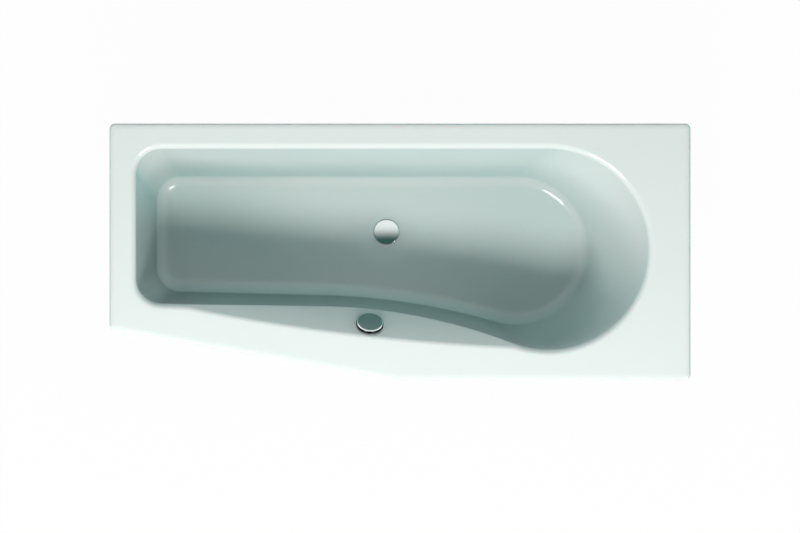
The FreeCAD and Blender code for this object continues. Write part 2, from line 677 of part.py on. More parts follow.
# Plug: domed cover, seal and stem, stored closed
stem_z = pivot_z - LEVER_ARM * math.sin(half_swing) + NOSE_R + RUN_GAP
seal_z = flange_top + RUN_GAP
cover_z = seal_z + SEAL_T
edge_z = seal_z + 0.9
top_z = edge_z + PLUG_RISE
dome_r = ((PLUG_R - 1) ** 2 + (PLUG_RISE - PLUG_EDGE_T) ** 2) / (2 * (PLUG_RISE - PLUG_EDGE_T))
crown = Part.makeSphere(dome_r, V(0, 0, top_z - dome_r))
cover = disc(PLUG_R, edge_z, edge_z + PLUG_RISE + 2).common(crown)
cover = cover.cut(disc(PLUG_R - 3, edge_z - 1, cover_z))
cover = cover.makeFillet(0.8, [e for e in cover.Edges if abs(e.BoundBox.XLength - 2 * PLUG_R) < 0.01])
parts["waste_plug"] = at_waste(cover)
parts["plug_seal"] = at_waste(ring(throat_bore - 4, throat_r + 2, seal_z, cover_z))
stem = disc(STEM_R, stem_z, cover_z).fuse(disc(9.0, cover_z - 2.5, cover_z))
parts["plug_stem"] = at_waste(stem)

# Trap: union nut, bent pipe and the outlet pipe to the wall, all in one upright plane
tail_z = cup_z - TAIL_LENGTH
bend_z = tail_z - TRAP_LEG
low_z = bend_z - BEND_R
rise_y = WASTE_Y + 2 * BEND_R
pipe_z = bend_z + TRAP_RISE + BEND_R
trap_end_y = rise_y + BEND_R + 14.0
trap_path = [V(WASTE_X, WASTE_Y, tail_z), V(WASTE_X, WASTE_Y, low_z), V(WASTE_X, rise_y, low_z),
             V(WASTE_X, rise_y, pipe_z), V(WASTE_X, trap_end_y, pipe_z)]
trap = tube_along(trap_path, BEND_R, PIPE_R, tail_bore)
collar_t = 4.0
trap = trap.fuse(at_waste(ring(tail_bore, THREAD_R, tail_z - collar_t, tail_z)))
trap = trap.fuse(aimed(ring(tail_bore, THREAD_R, 0, collar_t), V(WASTE_X, trap_end_y, pipe_z), V(0, -1, 0)))
parts["trap_body"] = trap.removeSplitter()
lip_t = 5.0
union = fluted_nut(THREAD_R + FIT, PIPE_R + FIT, NUT_R, lip_t, lip_t + collar_t + 16, 16)
nut_low = V(WASTE_X, WASTE_Y, tail_z - collar_t - lip_t)
nut_back = V(WASTE_X, trap_end_y - collar_t - lip_t, pipe_z)
parts["trap_nuts"] = group([aimed(union, nut_low, UP), aimed(union, nut_back, V(0, 1, 0))])
pipe = ring(tail_bore, PIPE_R, 0, OUTLET_END_Y - trap_end_y).fuse(ring(tail_bore, THREAD_R, 0, 20))
parts["outlet_pipe"] = aimed(pipe.removeSplitter(), V(WASTE_X, trap_end_y, pipe_z), V(0, 1, 0))

# Overflow fitting behind the facet, with its flange inside the basin
gasket_z = -STEEL - OVERFLOW_SEAT
plate_z = gasket_z - OVERFLOW_GASKET_T
body_z = plate_z - OVERFLOW_CUP_DEPTH
over_bore = OVERFLOW_HOLE_R
over_r = over_bore + OVERFLOW_WALL
boss_points = ((OVERFLOW_SCREW_R, 0.0), (-OVERFLOW_SCREW_R, 0.0))
parts["overflow_gasket"] = on_facet(ring(over_bore + 0.5, OVERFLOW_PLATE_R - 2, plate_z, gasket_z))
body = on_facet(disc(over_r, body_z, plate_z).fuse(disc(OVERFLOW_PLATE_R, plate_z - 4, plate_z)))
body = body.fuse(Part.makeCylinder(HOSE_R + 1, hose_from.z - hose_top.z, hose_top))
body = body.fuse(Part.makeCylinder(spigot_r, hose_from.z - hose_top.z + SPIGOT_L, hose_top - V(0, 0, SPIGOT_L)))
body = body.fuse(Part.makeCylinder(FERRULE_R + 1, hose_from.z - cable_top.z, cable_top))
body = body.cut(on_facet(disc(over_bore, body_z + OVERFLOW_WALL, plate_z + 1)))
for x, y in boss_points:
    boss = disc(SCREW_R + 2.5, body_z + 1, plate_z, x, y).common(disc(over_r, body_z, plate_z))
    body = body.fuse(on_facet(boss))
    body = body.cut(on_facet(disc(SCREW_R + FIT, plate_z - 20, plate_z + 1, x, y)))
body = body.cut(Part.makeCylinder(spigot_r - 1.5, hose_from.z - hose_top.z + SPIGOT_L + 1,
                                  hose_top - V(0, 0, SPIGOT_L + 1)))
body = body.cut(Part.makeCylinder(CABLE_R + FIT, hose_from.z - cable_top.z + 1, cable_top - V(0, 0, 1)))
parts["overflow_body"] = body

face_z = RUN_GAP
front_z = face_z + OVERFLOW_FLANGE_T
grille = disc(OVERFLOW_FLANGE_R, face_z, front_z).fuse(ring(SHAFT_R + 8.5, over_bore - 0.5, plate_z, front_z))
grille = grille.fuse(disc(SHAFT_R + 5, plate_z, front_z))
for k in range(4):
    grille = grille.cut(sector(SHAFT_R + 5, SHAFT_R + 13, plate_z - 1, front_z + 1, 45 + 90 * k, 66))
for x, y in boss_points:
    grille = grille.cut(disc(SCREW_R + FIT, plate_z - 1, front_z + 1, x, y))
grille = grille.cut(disc(SHAFT_R + RUN_GAP, plate_z - 1, front_z + 1))
parts["overflow_flange"] = on_facet(grille)
parts["overflow_screws"] = group([on_facet(shifted(cross_screw(front_z), x, y)) for x, y in boss_points])

# Knob, hub and drum turn together
knob_back = KNOB_LIFT
knob_front = KNOB_LIFT + KNOB_T
knob = disc(KNOB_R, knob_back, knob_front)
knob = knob.makeFillet(KNOB_EDGE_R, [e for e in knob.Edges if e.BoundBox.ZMin > knob_front - 0.001])
inner_r = KNOB_R - KNOB_WALL
knob = knob.cut(turned([(0, knob_back - 1), (inner_r, knob_back - 1), (inner_r, knob_front - KNOB_EDGE_R),
                        (KNOB_R - KNOB_EDGE_R - 1, knob_front - KNOB_WALL), (0, knob_front - KNOB_WALL)]))
parts["overflow_knob"] = on_facet(knob)
hub_top = knob_front - KNOB_WALL
drum_z = body_z + OVERFLOW_WALL + 4.0
hub = turned([(0, drum_z - 1), (SHAFT_R, drum_z - 1), (SHAFT_R, front_z + RUN_GAP),
              (SHAFT_R + 3, front_z + RUN_GAP), (SHAFT_R + 3, hub_top - 3), (18, hub_top - 3),
              (18, hub_top), (0, hub_top)])
parts["knob_hub"] = on_facet(hub)
drum = turned([(SHAFT_R + FIT, drum_z), (DRUM_R, drum_z), (DRUM_R, drum_z + 4), (DRUM_R - 3, drum_z + 5.5),
               (DRUM_R - 3, drum_z + DRUM_T - 5.5), (DRUM_R, drum_z + DRUM_T - 4), (DRUM_R, drum_z + DRUM_T),
               (SHAFT_R + FIT, drum_z + DRUM_T)])
parts["cable_drum"] = on_facet(drum)

# Foot rails: channels open downwards, with a nut above and below the web at each foot
rail_top = UNDER_Z - PAD_T
rail_z = rail_top - RAIL_H
web_under = rail_top - RAIL_T
spindle_bore = SPINDLE_R + RUN_GAP
rails = {"foot_rail_head": (RAIL_HEAD_X, HEAD_FRONT_FOOT_Y), "foot_rail_foot": (RAIL_FOOT_X, FOOT_FRONT_FOOT_Y)}
feet = []
pads = []
for name, (x, y_front) in rails.items():
    half = RAIL_W / 2
    y0, y1 = y_front - RAIL_OVERHANG, BACK_FOOT_Y + RAIL_OVERHANG
    rail = block(x - half, x + half, y0, y1, rail_z, rail_top)
    long_edges = [e for e in rail.Edges if e.BoundBox.ZMin > rail_top - 0.001 and e.BoundBox.YLength > 1]
    rail = rail.makeFillet(4.0, long_edges)
    hollow = block(x - half + RAIL_T, x + half - RAIL_T, y0 - 1, y1 + 1, rail_z - 1, web_under)
    rail = rail.cut(hollow)
    for y in (y_front, BACK_FOOT_Y):
        feet.append((x, y))
        rail = rail.cut(disc(spindle_bore, web_under - 1, rail_top + 1, x, y))
    parts[name] = rail
    for side in (-1, 1):
        y = FLOOR_MIDDLE_Y + side * FLOOR_FOOT_WIDTH * PAD_SHARE
        y0, y1 = y - PAD_LENGTH / 2, y + PAD_LENGTH / 2
        pads.append(block(x - half + 5, x + half - 5, y0, y1, rail_top, UNDER_Z))
parts["rail_pads"] = group(pads)
weld_nut = hexagon(NUT_FLATS, web_under - WELD_NUT_T, web_under).cut(disc(spindle_bore, 0, RIM_HEIGHT))
lock_nut = hexagon(NUT_FLATS, rail_top, rail_top + LOCK_NUT_T).cut(disc(spindle_bore, 0, RIM_HEIGHT))
parts["rail_weld_nuts"] = group([shifted(weld_nut, x, y) for x, y in feet])
parts["lock_nuts"] = group([shifted(lock_nut, x, y) for x, y in feet])

# Feet: rubber sole, plate with a socket, and a threaded spindle that turns in the socket
socket_z = FOOT_H - SOCKET_DEPTH
sole = disc(SOLE_R, 0, SOLE_T)
sole = sole.makeFillet(0.8, [e for e in sole.Edges if e.BoundBox.ZMax < 0.001])
plate = turned([(0, SOLE_T), (SOLE_R, SOLE_T), (SOLE_R, SOLE_T + 4), (FOOT_TOP_R, FOOT_H - 4),
                (FOOT_TOP_R, FOOT_H), (BALL_R + RUN_GAP, FOOT_H), (BALL_R + RUN_GAP, socket_z), (0, socket_z)])
collar_z = FOOT_H + RUN_GAP
spindle = disc(BALL_R, socket_z + RUN_GAP, collar_z).fuse(hexagon(COLLAR_FLATS, collar_z, collar_z + COLLAR_T))
spindle = spindle.fuse(disc(SPINDLE_R, collar_z, rail_top + SPINDLE_TOP))
spindle = spindle.removeSplitter()
tip = [e for e in spindle.Edges if e.BoundBox.ZMin > rail_top + SPINDLE_TOP - 0.001]
spindle = spindle.makeChamfer(1.0, tip)
for k, (x, y) in enumerate(feet, 1):
    parts["foot_sole_%d" % k] = shifted(sole, x, y)
    parts["foot_pad_%d" % k] = shifted(plate, x, y)
    parts["foot_spindle_%d" % k] = shifted(spindle, x, y)

# Damping mats between the rails and the outlet, and the earth lug under the foot end
mat_spans = ((RAIL_FOOT_X + RAIL_W / 2 + MAT_GAP, WASTE_X - DISH_R - MAT_GAP),
             (WASTE_X + DISH_R + MAT_GAP, RAIL_HEAD_X - RAIL_W / 2 - MAT_GAP))
mat_half = FLOOR_FOOT_WIDTH * MAT_SHARE
mats = []
for x0, x1 in mat_spans:
    y0, y1 = FLOOR_MIDDLE_Y - mat_half, FLOOR_MIDDLE_Y + mat_half
    mat = block(x0, x1, y0, y1, UNDER_Z - MAT_T, UNDER_Z)
    mats.append(mat.makeFillet(12.0, [e for e in mat.Edges if e.BoundBox.ZLength > MAT_T - 0.001]))
parts["sound_mats"] = group(mats)

lug = block(-LUG_W / 2, LUG_W / 2, -LUG_W / 2, LUG_W / 2, UNDER_Z - LUG_T, UNDER_Z)
tab = block(-LUG_W / 2, -LUG_W / 2 + LUG_T, -LUG_W / 2, LUG_W / 2, UNDER_Z - LUG_DROP, UNDER_Z)
tab_z = UNDER_Z - LUG_DROP
low_edges = [e for e in tab.Edges if e.BoundBox.ZMax < tab_z + 0.001 and e.BoundBox.XLength > 1]
tab = tab.makeFillet(6.0, low_edges)
lug = lug.fuse(tab).removeSplitter()
lug_hole = Part.makeCylinder(LUG_HOLE_R, 2 * LUG_W, V(-LUG_W, 0, UNDER_Z - LUG_DROP + 11), V(1, 0, 0))
parts["earth_lug"] = shifted(lug.cut(lug_hole), LUG_X, FLOOR_MIDDLE_Y)

os.makedirs("parts", exist_ok=True)
for name, shape in parts.items():
    shape.exportStep("parts/%s.step" % name)
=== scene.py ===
# %% [markdown]
# # A steel bath that narrows towards the foot end
#
# A CAD program has built this bath as 44 solids: the pressed basin, its outlet and overflow, the pipes
# and the screw feet. This lesson gives them the look of enamel, chrome, rubber and plastic. Solids with
# a good shape keep their mesh and only get a finish. Where a finer surface is wanted, such as the basin's
# long curves or a screw thread, a new mesh is worked out with numpy and stands for the solid.

# %% Load the solids
import json
import math

import bpy
import numpy as np
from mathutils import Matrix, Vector


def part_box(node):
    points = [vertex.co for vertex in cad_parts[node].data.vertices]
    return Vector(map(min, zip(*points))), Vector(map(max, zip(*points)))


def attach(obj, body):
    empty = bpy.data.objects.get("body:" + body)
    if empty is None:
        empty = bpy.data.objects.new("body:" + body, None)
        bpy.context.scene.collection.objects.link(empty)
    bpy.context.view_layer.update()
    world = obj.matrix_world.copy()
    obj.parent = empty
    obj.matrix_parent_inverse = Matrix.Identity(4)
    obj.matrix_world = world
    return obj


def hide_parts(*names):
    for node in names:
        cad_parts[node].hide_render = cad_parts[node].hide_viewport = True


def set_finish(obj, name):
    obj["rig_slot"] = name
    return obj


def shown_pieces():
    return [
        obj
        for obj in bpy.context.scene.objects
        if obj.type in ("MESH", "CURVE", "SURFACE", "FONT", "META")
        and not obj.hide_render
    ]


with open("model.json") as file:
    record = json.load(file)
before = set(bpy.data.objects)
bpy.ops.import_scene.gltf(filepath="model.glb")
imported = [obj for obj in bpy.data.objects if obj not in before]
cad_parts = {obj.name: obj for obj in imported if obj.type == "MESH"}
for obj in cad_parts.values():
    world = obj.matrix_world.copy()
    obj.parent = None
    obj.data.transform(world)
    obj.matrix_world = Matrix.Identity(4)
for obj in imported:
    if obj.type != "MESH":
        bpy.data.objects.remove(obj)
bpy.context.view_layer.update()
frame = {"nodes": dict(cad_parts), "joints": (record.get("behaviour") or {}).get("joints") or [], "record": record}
MM = 0.001
print("solids loaded:", len(frame["nodes"]))

# %% [markdown]
# ## Camera
#
# The picture looks straight down, and the rim's far and near edges keep one scale, so a parallel
# (orthographic) camera is right. A perspective camera from far away would nearly do, but would still show
# the walls leaning outwards. The picture is 800 pixels wide and shows 2.34 m.

# %% Camera
PICTURE_WIDTH = 2.3408
PICTURE_MIDDLE = (0.0, -0.0432)
CAMERA_HEIGHT = 5.0
camera_data = bpy.data.cameras.new("camera")
camera_data.type = "ORTHO"
camera_data.ortho_scale = PICTURE_WIDTH
camera = bpy.data.objects.new("camera", camera_data)
camera.location = (*PICTURE_MIDDLE, CAMERA_HEIGHT)
bpy.context.scene.collection.objects.link(camera)
bpy.context.scene.camera = camera
print("camera sees", PICTURE_WIDTH, "m across")

# %% [markdown]
# ## From a grid of points to a mesh
#
# Every new piece is a grid: one number runs along a profile and the other runs round it. The faces of a
# grid are always the same four-cornered cells, so one function makes them for all pieces. A closed shape
# has a positive volume when its faces point outwards, so the volume tells whether to turn them round.

# %% Grid helpers


def grid_cells(rows, columns, rows_close=False):
    """Four corners of each cell of a grid whose columns close into a ring.

    Point number = row * columns + column. With rows_close the last row also joins the first.
    """
    row = np.arange(rows if rows_close else rows - 1)[:, None] * columns
    below = (row + columns) % (rows * columns)
    column = np.arange(columns)[None, :]
    after = (column + 1) % columns
    return np.stack([row + column, row + after, below + after, below + column], axis=-1).reshape(-1, 4)


def end_fans(rows, columns):
    """Triangles from two extra end points, numbered after the grid, to its first and last rows."""
    column = np.arange(columns)
    after = (column + 1) % columns
    first, last = rows * columns, (rows - 1) * columns
    start = np.stack([np.full(columns, first), after, column], axis=-1)
    end = np.stack([last + column, last + after, np.full(columns, first + 1)], axis=-1)
    return np.concatenate([start, end])


def volume_of(points, triangles):
    """Sum of the pyramids from the origin to each triangle: a sixth of a . (b x c)."""
    a, b, c = (points[triangles[:, k]] for k in range(3))
    return np.einsum("ij,ij->i", a, np.cross(b, c)).sum() / 6


def add_piece(name, points, cells, body, slot, node, fans=np.zeros((0, 3), int), crease_deg=40):
    """Mesh of points in millimetres, facing outwards and smooth up to a crease angle, in place of a solid."""
    points = points.reshape(-1, 3) * MM
    volume = volume_of(points, np.concatenate([cells[:, :3], cells[:, [0, 2, 3]], fans]))
    turn = 1 if volume > 0 else -1
    mesh = bpy.data.meshes.new(name)
    mesh.from_pydata(points.tolist(), [], cells[:, ::turn].tolist() + fans[:, ::turn].tolist())
    mesh.shade_smooth()
    mesh.set_sharp_from_angle(angle=np.radians(crease_deg))
    piece = bpy.data.objects.new(name, mesh)
    bpy.context.scene.collection.objects.link(piece)
    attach(piece, body)
    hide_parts(node)
    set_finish(piece, slot)
    print(f"{name}: {len(mesh.polygons)} faces, {abs(volume) * 1e6:.1f} cm3, repaired {mesh.validate()}")
    return piece


def add_mark(piece, mark, marked):
    """A named number on each point of a piece, 0 or 1, that a finish can read."""
    numbers = piece.data.attributes.new(mark, "FLOAT", "POINT")
    numbers.data.foreach_set("value", marked.astype(np.float32))
    print(f"{piece.name}: {marked.sum()} of {len(marked)} points marked {mark}")


# %% [markdown]
# ## Outline of the basin
#
# Seen from above the basin has seven walls: a straight back, a round head end, a long hollow sweep, a
# straight front and a foot wall between two round corners. A drawn curve could follow them, but lines and
# arcs that touch without a kink are what the press tool has. One number, the wall's number plus the share
# of that wall, then names the same place at the rim and at the floor.

# %% Basin outline
BASIN_TOP = dict(back_y=304.0, foot_x=-775.0, tip_x=732.5, low_y=-289.0, foot_width=457.0,
                 corner_r=75.0, front_deg=1.7, sweep_r=1900.0)
BASIN_FLOOR = dict(back_y=215.0, foot_x=-707.0, tip_x=541.0, low_y=-207.0, foot_width=329.0,
                   corner_r=73.0, front_deg=1.4, sweep_r=2000.0)
WALLS = 7


def outline(place, back_y, foot_x, tip_x, low_y, foot_width, corner_r, front_deg, sweep_r):
    """Points and inward directions at places from 0 to 7 round the basin, clockwise from above.

    A straight wall is start + share * (end - start), a round one centre + r * (cos a, sin a) with the
    angle a going evenly from one end to the other. The sweep touches the front line and the head circle
    from outside, so its centre is sweep_r below the line and sweep_r + head_r from the head's centre.
    """
    head_r = (back_y - low_y) / 2
    head = np.array([tip_x - head_r, (back_y + low_y) / 2])
    slant = np.radians(front_deg)
    along = np.array([np.cos(slant), -np.sin(slant)])
    inward = np.array([np.sin(slant), np.cos(slant)])
    foot_corner = np.array([foot_x + corner_r, back_y - foot_width])
    below = foot_corner - inward * sweep_r - head
    b = below @ along
    reach = -b - np.sqrt(b * b - below @ below + (sweep_r + head_r) ** 2)
    sweep = head + below + along * reach
    front = foot_corner + [0.0, corner_r / inward[1]]
    back = np.array([foot_x + corner_r, back_y - corner_r])
    share = (place % 1)[:, None]

    def line(start, end, normal):
        start = np.asarray(start, float)
        return start + (np.asarray(end) - start) * share, np.ones_like(share) * normal

    def arc(centre, r, first, last, side):
        angle = first + (last - first) * share
        out = np.hstack([np.cos(angle), np.sin(angle)])
        return centre + r * out, side * out

    head_end = np.arctan2(*(sweep - head)[::-1])
    sweep_start = np.arctan2(*(head - sweep)[::-1])
    walls = [
        line((back[0], back_y), (head[0], back_y), (0.0, -1.0)),
        arc(head, head_r, np.pi / 2, head_end, -1),
        arc(sweep, sweep_r, sweep_start, np.pi / 2 - slant, 1),
        line(foot_corner + along * reach, front - inward * corner_r, inward),
        arc(front, corner_r, -np.pi / 2 - slant, -np.pi, -1),
        line((foot_x, front[1]), (foot_x, back[1]), (1.0, 0.0)),
        arc(back, corner_r, np.pi, np.pi / 2, -1),
    ]
    wall = [(place.astype(int) == k)[:, None] for k in range(WALLS)]
    return np.select(wall, [w[0] for w in walls]), np.select(wall, [w[1] for w in walls])


SAMPLES_PER_WALL = 1000
sample = np.linspace(0, WALLS, WALLS * SAMPLES_PER_WALL + 1)[:-1]
sample_top, sample_inward = outline(sample, **BASIN_TOP)
print("opening spans", np.ptp(sample_top, axis=0).round(1), "mm")

# %% [markdown]
# ## Outline of the rim
#
# The rim is a rectangle with its front corner cut off by a slanted edge. All five corners are round, and
# the blunt one has a very large radius. To find where a line from the basin meets the rim's edge, it helps
# to have the distance of any point from that edge: a line can then be searched by halving.

# %% Rim outline
RIM_CORNERS = np.array([(-850.0, 375.0), (850.0, 375.0), (850.0, -375.0),
                        (-8.5, -375.0), (-850.0, -225.0)])
RIM_RADII = np.array([16.0, 16.0, 16.0, 400.0, 16.0])
SEARCH_REACH, HALVINGS = 500.0, 40


def unit(vectors):
    """Vectors of length 1."""
    return vectors / np.linalg.norm(vectors, axis=-1, keepdims=True)


to_previous = unit(np.roll(RIM_CORNERS, 1, axis=0) - RIM_CORNERS)
to_next = unit(np.roll(RIM_CORNERS, -1, axis=0) - RIM_CORNERS)
half_corner = np.arccos(np.einsum("ij,ij->i", to_previous, to_next)) / 2
round_centres = RIM_CORNERS + unit(to_previous + to_next) * (RIM_RADII / np.sin(half_corner))[:, None]
edge_normals = np.stack([-to_next[:, 1], to_next[:, 0]], axis=-1)


def outside_rim(points):
    """Distance outside the rim's edge, negative inside.

    Beside a straight edge it is the distance from that line. In the wedge of a round corner it is the
    distance from the corner's centre, less its radius.
    """
    flat = np.einsum("pkj,kj->pk", points[:, None] - RIM_CORNERS, edge_normals).max(axis=1)
    from_centre = points[:, None] - round_centres
    in_wedge = np.einsum("pkj,kj->pk", from_centre, to_previous) < 0
    in_wedge &= np.einsum("pkj,kj->pk", from_centre, to_next) < 0
    curved = np.linalg.norm(from_centre, axis=2) - RIM_RADII
    return np.where(in_wedge.any(axis=1), np.where(in_wedge, curved, -np.inf).max(axis=1), flat)


def rim_hit(start, outward, inset):
    """Where lines meet the rim's edge moved in by an inset, by halving the searched length."""
    low, high = np.zeros(len(start)), np.full(len(start), SEARCH_REACH)
    for _ in range(HALVINGS):
        middle = (low + high) / 2
        inside = outside_rim(start + outward * middle[:, None]) < -inset
        low, high = np.where(inside, middle, low), np.where(inside, high, middle)
    return start + outward * low[:, None]


sample_rim = rim_hit(sample_top, -sample_inward, 0.0)
print("rim spans", np.ptp(sample_rim, axis=0).round(1), "mm")

# %% [markdown]
# ## Where the columns stand
#
# Evenly spaced columns would leave a tight rim corner with two or three points. More columns belong where
# an outline bends. Adding up length, the bends of the basin and the bends of the rim gives one measure, and
# columns at equal steps of it are close together exactly where they are needed.

# %% Columns
COLUMNS = 520
STEP_PER_MM, STEP_PER_BEND, STEP_PER_RIM_BEND = 1 / 7, 20.0, 14.0


def bends(points):
    """Turn of a closed line at each point, in radians."""
    before = unit(points - np.roll(points, 1, axis=0))
    after = unit(np.roll(points, -1, axis=0) - points)
    return np.arccos(np.clip(np.einsum("ij,ij->i", before, after), -1, 1))


steps = np.linalg.norm(np.roll(sample_top, -1, axis=0) - sample_top, axis=1) * STEP_PER_MM
steps += bends(sample_top) * STEP_PER_BEND + bends(sample_rim) * STEP_PER_RIM_BEND
measure = np.concatenate([[0.0], np.cumsum(steps)])
column_at = np.interp(np.arange(COLUMNS) / COLUMNS * measure[-1], measure, np.append(sample, WALLS))
top, inward = outline(column_at, **BASIN_TOP)
floor, _ = outline(column_at, **BASIN_FLOOR)
print("columns per wall:", np.bincount(column_at.astype(int)))

# %% [markdown]
# ## The front facet
#
# Along the front a sloping face lies between the rim and the wall. It is widest beside the overflow and
# runs out at both ends. Its upper edge is a single long arc through three points, so at each column the
# width of the face is the distance, straight out from the wall, to that circle.

# %% Facet
OVERFLOW_X = -88.8
FACET_REACH, FACET_INSET = 72.0, 2.4
FACET_END = np.radians(-99.0)
FACET_FOOT_X = -700.0
FACES_BACK = 0.5
head_r = (BASIN_TOP["back_y"] - BASIN_TOP["low_y"]) / 2
head_middle = np.array([BASIN_TOP["tip_x"] - head_r, (BASIN_TOP["back_y"] + BASIN_TOP["low_y"]) / 2])
facet_tip = np.array([np.cos(FACET_END), np.sin(FACET_END)])
front_side = (sample_inward[:, 1] > FACES_BACK) & (sample >= 1)
front_at_overflow = np.interp(OVERFLOW_X, sample_top[front_side][::-1, 0], sample_top[front_side][::-1, 1])
arc_points = np.array([
    (FACET_FOOT_X, BASIN_TOP["back_y"] - BASIN_TOP["foot_width"] + FACET_INSET),
    (OVERFLOW_X, front_at_overflow - FACET_REACH),
    head_middle + facet_tip * (head_r - FACET_INSET)])
squares = (arc_points ** 2).sum(axis=1)
arc_centre = np.linalg.solve(2 * (arc_points[1:] - arc_points[0]), squares[1:] - squares[0])
arc_r = np.linalg.norm(arc_points[0] - arc_centre)


def facet_reach(points, inward):
    """Distance from the wall out to the facet's arc, from the quadratic for a line that meets a circle."""
    p = points - arc_centre
    b = (p * inward).sum(axis=1)
    found = b + np.sqrt(np.maximum(b * b - (p * p).sum(axis=1) + arc_r ** 2, 0))
    facet_head_x = head_middle[0] + head_r * facet_tip[0]
    has_facet = (points[:, 0] >= FACET_FOOT_X) & (points[:, 0] <= facet_head_x)
    has_facet &= inward[:, 1] > FACES_BACK
    return np.where(has_facet, found, 0.0)


reach = facet_reach(top, inward)
print(f"facet arc radius {arc_r:.0f} mm, widest reach {reach.max():.1f} mm")

# %% [markdown]
# ## Down the wall
#
# A cut through the wall shows three rounds joined by straight slopes: rim to facet, facet to wall, and
# wall to floor. Each round is an arc that touches the slopes on both sides. Rows are close together on the
# rounds, where the light changes quickly, and wide apart on the slopes.

# %% Wall section
RIM_HEIGHT, BASIN_DEPTH = 600.0, 405.0
RIM_ROUND, FLOOR_ROUND = 19.0, 40.0
FACET_SLOPE = np.radians(46.0)
FACET_LEAST, KNEE_ROUND, KNEE_BLEND = 1.0, 8.0, 16.0
RIM_STEPS = np.linspace(0, 1, 10)[:, None]
KNEE_STEPS = np.linspace(0, 1, 8)[:, None]
FLOOR_STEPS = np.linspace(0, 1, 12)[:, None]
SLOPE_STEPS = np.array([0.02, 0.07, 0.15, 0.24, 0.33, 0.42, 0.5, 0.58, 0.67, 0.76,
                        0.85, 0.93, 0.98])[:, None]


def section(run, reach):
    """Inset, depth and slope down the wall, one row of columns at a time.

    run is how far the wall leans in over the whole depth. A round of radius r that turns through the
    angle a lies at its centre plus r * (sin a, -cos a), and touches a corner's two slopes at
    r * tan(half the turn) from the corner.
    """
    lean = np.arctan2(BASIN_DEPTH, run)
    least = RIM_ROUND * (np.tan(lean / 2) - np.tan(FACET_SLOPE / 2)) + FACET_LEAST
    reach = np.maximum(reach, least)
    s = np.minimum((reach - least) / KNEE_BLEND, 1.0)
    knee_r = RIM_ROUND + (KNEE_ROUND - RIM_ROUND) * s * s * (3 - 2 * s)
    knee_depth = reach * np.tan(FACET_SLOPE) / (1 - run * np.tan(FACET_SLOPE) / BASIN_DEPTH)
    knee_inset = run * knee_depth / BASIN_DEPTH
    back_off = knee_r * np.tan((lean - FACET_SLOPE) / 2)
    a = FACET_SLOPE * RIM_STEPS + 0 * run
    rim_inset = -reach - RIM_ROUND * np.tan(FACET_SLOPE / 2)
    rim = np.stack([rim_inset + RIM_ROUND * np.sin(a), RIM_ROUND * (1 - np.cos(a)), a])
    a = FACET_SLOPE + (lean - FACET_SLOPE) * KNEE_STEPS
    knee_e = knee_inset - back_off * np.cos(FACET_SLOPE) - knee_r * np.sin(FACET_SLOPE)
    knee_d = knee_depth - back_off * np.sin(FACET_SLOPE) + knee_r * np.cos(FACET_SLOPE)
    knee = np.stack([knee_e + knee_r * np.sin(a), knee_d - knee_r * np.cos(a), a])
    a = lean * (1 - FLOOR_STEPS)
    floor_inset = run + FLOOR_ROUND * np.tan(lean / 2)
    foot = np.stack([floor_inset - FLOOR_ROUND * np.sin(a), BASIN_DEPTH - FLOOR_ROUND * (1 - np.cos(a)), a])
    facet = rim[:, -1:] + (knee[:, :1] - rim[:, -1:]) * SLOPE_STEPS
    wall = knee[:, -1:] + (foot[:, :1] - knee[:, -1:]) * SLOPE_STEPS
    return np.concatenate([rim, facet, knee, wall, foot], axis=1)


def wall_rows(thickness):
    """Rows of points down the wall, pushed outwards by a thickness, square to the slope."""
    side = np.stack([-inward[:, 1], inward[:, 0]], axis=-1)
    run = ((floor - top) * inward).sum(axis=1)
    drift = ((floor - top) * side).sum(axis=1)
    inset, depth, slope = section(run, reach)
    inset = inset - thickness * np.sin(slope)
    depth = depth + thickness * np.cos(slope)
    flat = top + inward * inset[..., None] + side * (drift * depth / BASIN_DEPTH)[..., None]
    return np.concatenate([flat, (RIM_HEIGHT - depth)[..., None]], axis=-1)


STEEL = 3.0
inside = wall_rows(0.0)
outside = wall_rows(STEEL)
print("wall rows:", len(inside), "lowest", inside[..., 2].min().round(2), "mm")

# %% [markdown]
# ## Rim, lip and floor
#
# Outside the wall the sheet runs level almost to the rim's edge, falls a little over a narrow band, turns
# down over a round and ends in a lip. Inside, the floor runs level to a shallow dish round the outlet. In a
# real pressing the dish has no hard edge, so its fall follows a smooth step. The steel's other face repeats
# all this 3 mm further out.

# %% Rim and floor rows
WASTE = np.array([-39.5, 58.0])
FLOOR_Z, LIP_Z = RIM_HEIGHT - BASIN_DEPTH, 568.0
LIP_ROUND, LIP_ROUND_MIDDLE = 0.9, 0.26
LIP_ROWS = (LIP_Z + 4.0, LIP_Z + 20.0)
EDGE_BAND, EDGE_SLOPE, EDGE_ROUND, EDGE_STEPS = 14.0, np.radians(11.0), 8.0, 8
BAND_ROWS, BAND_TOP_FALL, PLATE_START = [9.5, 12.8], 0.06, 15.5
PLATE_STEPS = [0.03, 0.12, 0.5, 0.88, 0.97]
DISH_R, DISH_DROP, DISH_STEPS, DISH_END_R = 100.0, 5.0, 12, 37.3
UNDER_ROUND = 7.0
# radius and height down into the recess of the outlet, with small rounds at its edges
RECESS = [(36.73, 189.77), (36.5, 189.2), (36.5, 186.8), (36.3, 186.2), (35.7, 186.0),
          (26.8, 186.0), (26.2, 185.8), (26.0, 185.2), (26.0, 183.0)]
# radius and height back out under the recess and the dish
UNDER_CUP = [(39.0, 183.0), (39.5, 183.5), (39.5, 186.6), (40.1, 187.05),
             (60.0, 188.6), (85.0, 190.6), (101.0, 191.95), (102.5, 192.0)]


def at_heights(flat, heights):
    """Rows of flat points, each row lifted to its height."""
    lift = np.ones((*flat.shape[:2], 1)) * np.asarray(heights)[:, None, None]
    return np.concatenate([flat, lift], axis=-1)


